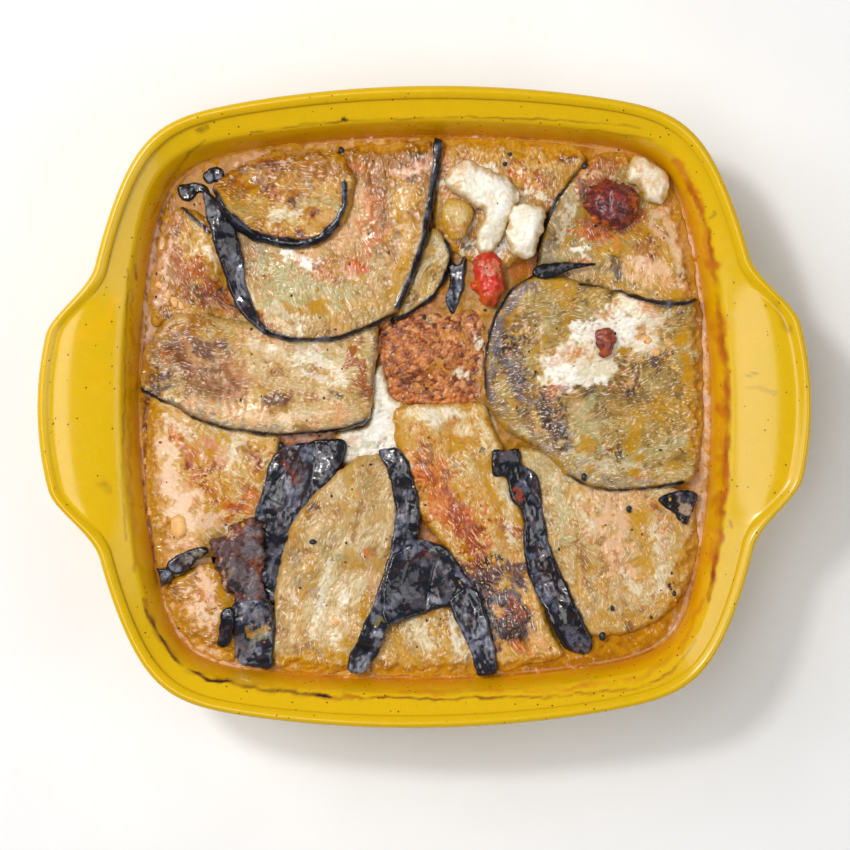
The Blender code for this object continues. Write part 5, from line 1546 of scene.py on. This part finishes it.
      ("rust", 0.35, 3.0, ((424, 552), (432, 560))), ("black", 0.8, 3.0, ((424, 540), (436, 536))),
      ("slate", 0.4, 8.0, ((400, 590), (420, 604))))),
    ("skin_bottom_strip", "skin", "aubergine_skin", skin, "skin", {"seed": 171, "grain": 70, "bias": 0.1},
     ((448, 604), (456, 594), (466, 586), (478, 592), (487, 615), (493, 640), (497, 673), (478, 676),
      (470, 650), (458, 626)),
     (("slate", 0.5, 6.0, ((462, 606), (470, 622))), ("black", 0.8, 3.0, ((478, 640), (486, 664))))),
    ("skin_lower_right", "skin", "aubergine_skin", skin, "skin",
     {"seed": 181, "grain": 72, "bias": -0.15},
     ((492, 452), (506, 451), (520, 449), (523, 464), (536, 474), (542, 490), (544, 512), (548, 535),
      (556, 560), (574, 600), (594, 648), (576, 655), (558, 640), (543, 607), (529, 577), (524, 545),
      (523, 515), (512, 500), (506, 478), (494, 475)),
     (("slate", 0.6, 5.0, ((500, 458), (514, 456))), ("black", 0.9, 2.6, ((496, 468), (520, 466))),
      ("umber", 0.6, 4.0, ((532, 480), (538, 496))), ("slate", 0.55, 5.0, ((530, 512), (534, 528))),
      ("umber", 0.6, 6.0, ((536, 545), (548, 575), (562, 600))),
      ("purple", 0.35, 5.0, ((540, 580), (552, 590))), ("slate", 0.5, 5.0, ((566, 628), (578, 640))),
      ("black", 0.9, 2.2, ((556, 628), (576, 618))), ("rust", 0.8, 4.5, ((516, 488), (521, 500))),
      ("umber", 0.7, 5.0, ((580, 646), (590, 650))))),
    ("skin_flap_left", "skin", "aubergine_skin", skin, "skin", {"seed": 191, "grain": 66, "bias": 0.1},
     ((202, 188), (206, 214), (212, 238), (219, 262), (228, 290), (240, 314), (258, 330), (268, 334),
      (256, 312), (247, 290), (243, 262), (238, 236), (230, 214), (216, 198)),
     (("slate", 0.75, 6.0, ((224, 244), (234, 276))), ("slate", 0.4, 4.0, ((214, 205), (222, 225))),
      ("black", 0.95, 3.0, ((212, 222), (226, 218))), ("black", 0.9, 2.4, ((216, 234), (236, 240))),
      ("black", 0.8, 2.2, ((208, 204), (220, 200))),
      ("rind", 1.0, 4.0, ((222, 262), (232, 292), (246, 318), (264, 333))))),
    ("slice_small_upper_left", "flesh", "aubergine_flesh", flesh, "golden",
     {"seed": 201, "grain": 14, "bias": 0.0, "glints": 0.2},
     ((213, 192), (220, 178), (250, 158), (290, 149), (335, 151), (352, 170), (353, 196), (344, 222),
      (325, 241), (303, 249), (275, 247), (248, 238), (226, 220)),
     (("deep", 0.9, 20.0, ((228, 180), (262, 164), (300, 160), (344, 168))),
      ("umber", 0.5, 8.0, ((222, 178), (250, 166), (280, 164))),
      ("green", 0.6, 14.0, ((308, 196), (328, 204))), ("gold", 0.5, 8.0, ((300, 185), (335, 185))),
      ("tone", 0.55, 10.0, ((264, 222), (284, 214), (304, 222))),
      ("cream", 0.6, 6.0, ((272, 218), (296, 212))), ("tone", 0.35, 9.0, ((318, 194), (322, 216))),
      ("rust", 0.75, 5.0, ((262, 160), (274, 168))), ("brown", 0.6, 4.0, ((264, 164), (288, 166))),
      ("rust", 0.7, 4.0, ((270, 190), (278, 196))), ("rust", 0.5, 4.0, ((236, 180), (246, 190))),
      ("pink", 0.8, 4.0, ((236, 157), (246, 154), (248, 162))),
      ("film", 0.8, 5.0, ((236, 157), (246, 160))), ("pink", 0.7, 3.0, ((282, 162), (289, 168))),
      ("olive", 0.5, 8.0, ((234, 200), (250, 214))), ("purple", 0.35, 5.0, ((258, 182), (268, 184))),
      ("white", 0.6, 2.2, ((306, 183), (309, 184))),
      ("rind", 1.0, 11.0, ((214, 196), (226, 216), (248, 234), (275, 243), (303, 245))),
      ("rind", 1.0, 8.0, ((303, 245), (322, 238), (336, 224))),
      ("rind", 1.0, 5.5, ((336, 224), (345, 204), (344, 184))))),
    ("skin_curl_left", "skin", "aubergine_skin", skin, "skin", {"seed": 211, "grain": 10, "bias": -0.1},
     ((176, 187), (184, 182), (196, 181), (208, 187), (208, 193), (198, 191), (192, 198), (182, 198)),
     ()),
    ("skin_flake_top", "skin", "aubergine_skin", skin, "skin", {"seed": 221, "bias": 0.0},
     ((201, 174), (206, 168), (214, 165), (222, 169), (222, 178), (214, 180), (206, 182)),
     ()),
    ("charred_piece", "charred", "charred", craggy, "charred", {"seed": 231, "bias": 0.1, "relief": 0.7},
     ((210, 540), (222, 536), (236, 524), (248, 519), (260, 524), (264, 548), (260, 575), (264, 598),
      (248, 612), (232, 604), (222, 586), (214, 566)),
     (("purple", 0.8, 12.0, ((222, 545), (236, 560))), ("rust", 0.5, 6.0, ((240, 600), (262, 590))),
      ("peach", 0.6, 5.0, ((228, 560), (226, 584))), ("slate", 0.9, 10.0, ((250, 580), (256, 604))),
      ("rust", 0.6, 5.0, ((240, 528), (248, 534))), ("slate", 0.6, 7.0, ((232, 562), (244, 588))),
      ("slate", 0.8, 9.0, ((250, 536), (256, 556))), ("black", 0.9, 8.0, ((222, 566), (240, 594))),
      ("orange", 0.3, 5.0, ((256, 560), (260, 584))), ("peach", 0.7, 4.0, ((222, 532), (232, 534))))),
    ("skin_bottom_left", "skin", "aubergine_skin", skin, "skin", {"seed": 241, "grain": 80, "bias": 0.15},
     ((234, 604), (250, 600), (268, 600), (274, 614), (274, 640), (271, 667), (252, 669), (236, 662),
      (234, 640), (230, 620)),
     (("slate", 0.8, 8.0, ((250, 612), (262, 618))), ("gold", 0.6, 6.0, ((250, 632), (262, 630))),
      ("olive", 0.5, 5.0, ((256, 642), (266, 636))), ("slate", 0.7, 5.0, ((238, 640), (248, 652))),
      ("black", 0.9, 5.0, ((246, 660), (266, 662))))),
    ("skin_flake_bottom", "skin", "aubergine_skin", skin, "skin",
     {"seed": 251, "grain": 100, "bias": 0.0},
     ((222, 612), (230, 606), (235, 612), (234, 628), (228, 646), (217, 646), (219, 630)),
     (("purple", 0.5, 4.0, ((222, 636), (226, 628))),)),
    ("skin_flake_left", "skin", "aubergine_skin", skin, "skin", {"seed": 261, "grain": -30, "bias": 0.0},
     ((145, 577), (152, 571), (166, 568), (173, 573), (168, 582), (160, 588), (150, 594)),
     (("brown", 0.4, 4.0, ((156, 580), (164, 584))),)),
    ("skin_flake_grey", "skin", "aubergine_skin", skin, "skin", {"seed": 271, "grain": -25, "bias": 0.1},
     ((166, 566), (182, 553), (203, 547), (208, 553), (196, 562), (186, 572), (174, 576)),
     (("umber", 0.6, 8.0, ((176, 566), (200, 552))), ("grey", 0.5, 4.0, ((184, 560), (200, 552))))),
    ("skin_triangle", "skin", "aubergine_skin", skin, "skin", {"seed": 281, "bias": -0.3, "relief": 0.5},
     ((658, 499), (676, 492), (697, 493), (694, 508), (686, 524), (675, 514), (664, 506)),
     (("slate", 0.6, 5.0, ((688, 502), (684, 514))), ("film", 0.5, 6.0, ((680, 498), (686, 512))))),
    ("skin_leaf", "skin", "aubergine_skin", skin, "skin",
     {"seed": 291, "bias": -0.3, "relief": 0.5, "red": 0.0},
     ((532, 274), (540, 265), (556, 262), (576, 262), (597, 264), (578, 268), (560, 274), (545, 280)),
     (("slate", 0.5, 2.5, ((540, 272), (572, 264))),)),
    ("skin_bundle", "skin", "aubergine_skin", skin, "skin", {"seed": 301, "grain": 84, "bias": 0.2},
     ((444, 250), (452, 262), (460, 262), (465, 248), (468, 256), (464, 282), (460, 300), (452, 314),
      (446, 300), (450, 282)),
     (("black", 0.9, 2.0, ((452, 262), (455, 300))), ("slate", 0.6, 2.2, ((459, 262), (457, 300))))),
)

# Lumps that lie on them, in the same order of columns
LUMPS = (
    ("cheese_upper", "cheese", "soft_cheese", cheese, "cheese", {"seed": 311, "bias": 0.35},
     ((446, 184), (450, 168), (466, 161), (482, 166), (494, 172), (508, 178), (518, 192), (515, 214),
      (504, 234), (492, 252), (478, 252), (476, 232), (484, 212), (466, 200)),
     (("tone", 0.4, 9.0, ((474, 178), (500, 188), (500, 215))),
      ("gold", 0.6, 5.0, ((452, 192), (462, 180))), ("grey", 0.4, 3.0, ((496, 174), (512, 190))),
      ("peach", 0.6, 5.0, ((450, 176), (464, 166))), ("tone", -0.7, 4.0, ((502, 222), (506, 238))))),
    ("cheese_upper_right", "cheese", "soft_cheese", cheese, "cheese", {"seed": 321, "bias": 0.45},
     ((509, 212), (520, 206), (542, 207), (546, 220), (540, 238), (534, 256), (514, 256), (507, 238)),
     ()),
    ("cheese_corner", "cheese", "soft_cheese", cheese, "cheese", {"seed": 331, "bias": 0.05},
     ((632, 158), (648, 150), (664, 162), (669, 185), (662, 204), (646, 200), (638, 186), (626, 180)),
     (("peach", 0.5, 8.0, ((640, 178), (652, 186))), ("gold", 0.5, 3.5, ((636, 168), (640, 172))))),
    ("tomato_browned", "tomato", "tomato_browned", craggy, "browned",
     {"seed": 341, "bias": -0.05, "relief": 0.8},
     ((586, 192), (598, 184), (612, 180), (630, 188), (638, 206), (628, 224), (608, 230), (592, 220),
      (584, 206)),
     (("orange", 0.7, 5.0, ((586, 216), (600, 228), (616, 230))),
      ("orange", 0.6, 4.0, ((630, 198), (638, 212))), ("rust", 0.6, 5.0, ((588, 190), (604, 184))),
      ("red", 0.3, 4.0, ((604, 194), (614, 198))))),
    ("tomato_piece", "tomato", "tomato", craggy, "tomato", {"seed": 351, "bias": 0.02, "relief": 0.8},
     ((473, 262), (484, 251), (496, 256), (504, 270), (501, 292), (490, 306), (477, 300), (472, 282)),
     (("pink", 0.6, 5.0, ((480, 262), (490, 272))),
      ("orange", 0.6, 5.0, ((476, 286), (486, 302), (498, 296))),
      ("rust", 0.6, 4.0, ((474, 266), (480, 256))), ("peach", 0.6, 3.0, ((494, 262), (500, 276))))),
    ("flesh_fragment", "flesh", "aubergine_seared", flesh, "golden",
     {"seed": 361, "bias": 0.3, "grain": 60},
     ((443, 208), (452, 198), (466, 200), (473, 212), (470, 226), (460, 240), (447, 236), (442, 222)),
     (("rust", 0.4, 4.0, ((448, 222), (458, 232))),)),
    ("tomato_bit_right", "tomato", "tomato_browned", pulpy, "browned", {"seed": 371, "bias": 0.5},
     ((596, 336), (602, 328), (611, 328), (615, 338), (612, 352), (604, 358), (597, 350)),
     (("orange", 0.4, 3.0, ((600, 350), (606, 354))),)),
)


# Width of the rounded edge, and how uneven the outline is
RIMS = {"flesh": 0.0021, "skin": 0.0007, "cheese": 0.0022, "charred": 0.0026, "tomato": 0.0036}
RAGGED = {"flesh": 0.0008, "skin": 0.0007, "cheese": 0.0011, "charred": 0.0024, "tomato": 0.0018}


def build_food():
    """All the food's pieces, from the filling up."""
    core = build_piece("mince_filling_look", "mince_filling", CORE, crumbly, CORE_MARKS, ramp="mince",
                       seed=9, step=CORE_STEP, bias=-0.1, size=8.0)
    dress(core, "mince", "browned_mince", "mince_filling")
    pieces = [core]
    patch = build_piece("mince_top", "mince_filling", smooth_outline(MINCE_PATCH), crumbly,
                        MINCE_MARKS, ramp="mince", seed=13, cover=PATCH_THICKNESS)
    dress(patch, "mince", "browned_mince")
    pieces.append(patch)
    for table, lump in ((FOOD, False), (LUMPS, True)):
        for node, material, slot, look, ramp, settings, points, marks in table:
            piece = build_piece(node + "_look", node, smooth_outline(points), look, marks, ramp=ramp,
                                rim=RIMS[material], ragged=RAGGED[material], lump=lump,
                                **settings)
            dress(piece, material, slot, node)
            pieces.append(piece)
    return pieces


# Small things that lie on the food

# Place and radius on the plan
PEPPERCORNS = ((280.5, 446, 3.6), (313, 542, 3.3), (629.5, 509.4, 3.3), (603, 637, 4.2),
               (670, 586, 2.0), (675, 594, 2.4), (613, 609, 2.4), (652, 618, 1.8), (341, 149, 3.6),
               (505, 163, 2.4), (510, 153, 2.2), (585, 166, 4.0), (620, 147, 1.8), (584, 477, 3.6),
               (424, 316, 2.4))
PEPPER_COLOURS = ((30, 36, 42),)

# Fat droplets: place and radius on the plan, then zones where small ones gather,
# with the place, reach and number in each
DROPLETS = ((178, 527, 10.5), (160, 284, 5.5), (166, 293, 4.6), (173, 301, 5.2), (180, 305, 3.6),
            (140, 414, 4.6), (139, 436, 3.8), (142, 462, 5.0), (149, 512, 4.4), (157, 518, 3.0),
            (336, 621, 5.5), (648, 340, 4.2), (656, 352, 4.6), (668, 343, 5.2), (676, 366, 3.8))
DROPLET_ZONES = ((668, 360, 22, 26), (662, 420, 28, 46), (620, 440, 40, 26), (165, 300, 18, 14),
                 (600, 500, 60, 12), (360, 300, 60, 14), (470, 560, 26, 18), (210, 500, 40, 14))
SMALL_DROPLETS = (0.9, 2.2)
DROPLET_COLOURS = ((226, 172, 104), (196, 146, 34), (210, 172, 100))

CRUMBS = 240
CRUMB_SIZES = (0.00022, 0.00062)
CRUMB_HALF_WIDTH = 0.1030
CRUMB_HALF_LENGTH = 0.0990
CRUMB_COLOURS = ((60, 34, 22), (150, 72, 26), (222, 196, 150), (30, 32, 34))


def top_at(pieces, x, y):
    """Height of the highest piece at a point."""
    best = JUICE_LEVEL
    for piece in pieces:
        hit, place, _normal, _face = piece.ray_cast(Vector((x, y, RAY_START)), DOWN)
        if hit:
            best = max(best, place.z)
    return best


def build_grains(name, grains, material, slot, colours):
    """One mesh of small uneven grains given as place, radius, squash and colour number."""
    rng = random.Random(len(grains))
    points = []
    faces = []
    shades = []
    for (x, y, z), radius, squash, number in grains:
        bm = bmesh.new()
        bmesh.ops.create_icosphere(bm, subdivisions=2, radius=radius)
        start = len(points)
        phase = rng.uniform(0.0, 9.0)
        for vertex in bm.verts:
            turn = Vector((vertex.co.x, vertex.co.y, vertex.co.z)) / radius
            bulge = 1.0 + 0.14 * math.sin(3.1 * turn.x + phase)
            bulge += 0.12 * math.sin(4.3 * turn.y - phase)
            points.append((x + vertex.co.x * bulge, y + vertex.co.y * bulge,
                           z + vertex.co.z * squash))
            shades.append(linear(colours[number]) * rng.uniform(0.75, 1.2))
        faces += [[start + corner.index for corner in face.verts] for face in bm.faces]
        bm.free()
    item = mesh_object(name, points, faces, np.clip(np.array(shades), 0.0, 1.0),
                       np.full(len(points), 0.25))
    dress(item, material, slot)


def build_peppercorns(pieces):
    corns = []
    for u, v, radius in PEPPERCORNS:
        x, y = on_plan(u, v)
        size = radius * UNIT
        corns.append(((x, y, top_at(pieces, x, y) + 0.35 * size), size, 0.9, 0))
    build_grains("peppercorns", corns, "pepper", "charred", PEPPER_COLOURS)


def build_droplets(pieces):
    rng = random.Random(9)
    drops = list(DROPLETS)
    for u, v, reach, count in DROPLET_ZONES:
        for _ in range(count):
            drops.append((rng.gauss(u, 0.5 * reach), rng.gauss(v, 0.5 * reach),
                          rng.uniform(*SMALL_DROPLETS)))
    beads = []
    for u, v, radius in drops:
        x, y = on_plan(u, v)
        size = radius * UNIT
        number = 0 if radius > 3.5 else rng.choice((1, 1, 2))
        squash = 0.12 if radius > 3.0 else 0.4
        beads.append(((x, y, top_at(pieces, x, y) - 0.02 * size), size, squash, number))
    build_grains("fat_droplets", beads, "juice", "amber_juice", DROPLET_COLOURS)


def build_crumbs(pieces):
    rng = random.Random(4)
    crumbs = []
    while len(crumbs) < CRUMBS:
        u = rng.uniform(145, 700)
        v = rng.uniform(140, 682)
        x, y = on_plan(u, v)
        if abs(x) > CRUMB_HALF_WIDTH or abs(y) > CRUMB_HALF_LENGTH:
            continue
        size = rng.uniform(*CRUMB_SIZES)
        number = rng.choice((0, 0, 1, 2, 2, 3))
        crumbs.append(((x, y, top_at(pieces, x, y) + 0.1 * size), size, 0.6, number))
    build_grains("crumbs", crumbs, "mince", "browned_mince", CRUMB_COLOURS)


# Stage

FLOOR_SIZE = 6.0
FLOOR_HEIGHT = -0.0002
SENSOR_WIDTH = 36.0
MIDDLE = (0.0, 0.0, 0.05)

# Name, place, target, size, power and colour
LIGHTS = (
    ("window", (-0.28, 0.0, 1.35), (-0.28, 0.0, 0.0), (0.46, 0.84), 5.3, (1.0, 0.98, 0.98)),
    ("side_left", (-1.0, 0.50, 1.10), MIDDLE, (0.9, 0.9), 9.0, (1.0, 0.99, 0.97)),
    ("side_right", (1.0, -0.30, 1.10), MIDDLE, (0.9, 0.9), 5.0, (0.98, 0.99, 1.0)),
    ("key", (-0.45, 0.35, 1.15), MIDDLE, (0.14, 0.14), 5.0, (1.0, 0.98, 0.96)),
)
ROOM_COLOUR = (0.96, 0.98, 1.0, 1.0)
ROOM_STRENGTH = 0.20


def build_stage():
    """Pale matt floor under the dish."""
    bpy.ops.mesh.primitive_plane_add(size=FLOOR_SIZE, location=(0.0, 0.0, FLOOR_HEIGHT))
    floor = bpy.context.object
    floor.name = "floor"
    material = bpy.data.materials.new("floor_look")
    nodes, links = node_links(material)
    shader = nodes["Principled BSDF"]
    shade = remap(nodes, links, add_noise(nodes, links, 0.05), 0.3, 0.7, 0.90, 0.93)
    links.new(shade, shader.inputs["Base Color"])
    shader.inputs["Roughness"].default_value = 0.8
    floor.data.materials.append(material)


def add_light(name, place, target, size, power, colour):
    data = bpy.data.lights.new(name, "AREA")
    data.shape = "RECTANGLE"
    data.size, data.size_y = size
    data.energy = power
    data.color = colour
    lamp = bpy.data.objects.new(name, data)
    lamp.location = place
    aim = Vector(target) - Vector(place)
    lamp.rotation_euler = aim.to_track_quat("-Z", "Y").to_euler()
    bpy.context.scene.collection.objects.link(lamp)


def build_light():
    """A soft window overhead, two wide soft lights at the sides and a small bright one."""
    for light in LIGHTS:
        add_light(*light)
    world = bpy.data.worlds.new("soft_room")
    bpy.context.scene.world = world
    world.use_nodes = True
    back = world.node_tree.nodes["Background"]
    back.inputs["Color"].default_value = ROOM_COLOUR
    back.inputs["Strength"].default_value = ROOM_STRENGTH
    bpy.context.scene.view_settings.view_transform = "Standard"


def build_camera():
    """Camera over the dish that sees the plan drawing."""
    data = bpy.data.cameras.new("camera")
    camera = bpy.data.objects.new("camera", data)
    bpy.context.scene.collection.objects.link(camera)
    camera.location = EYE
    camera.rotation_euler = (0.0, 0.0, -SHEET_TURN)
    data.sensor_width = SENSOR_WIDTH
    data.lens = SENSOR_WIDTH * (EYE[2] - RIM_HEIGHT) / VIEW_WIDTH
    data.clip_start = 0.01
    bpy.context.scene.camera = camera


build_dish()
build_juice()
food = build_food()
build_peppercorns(food)
build_droplets(food)
build_crumbs(food)
build_stage()
build_light()
build_camera()
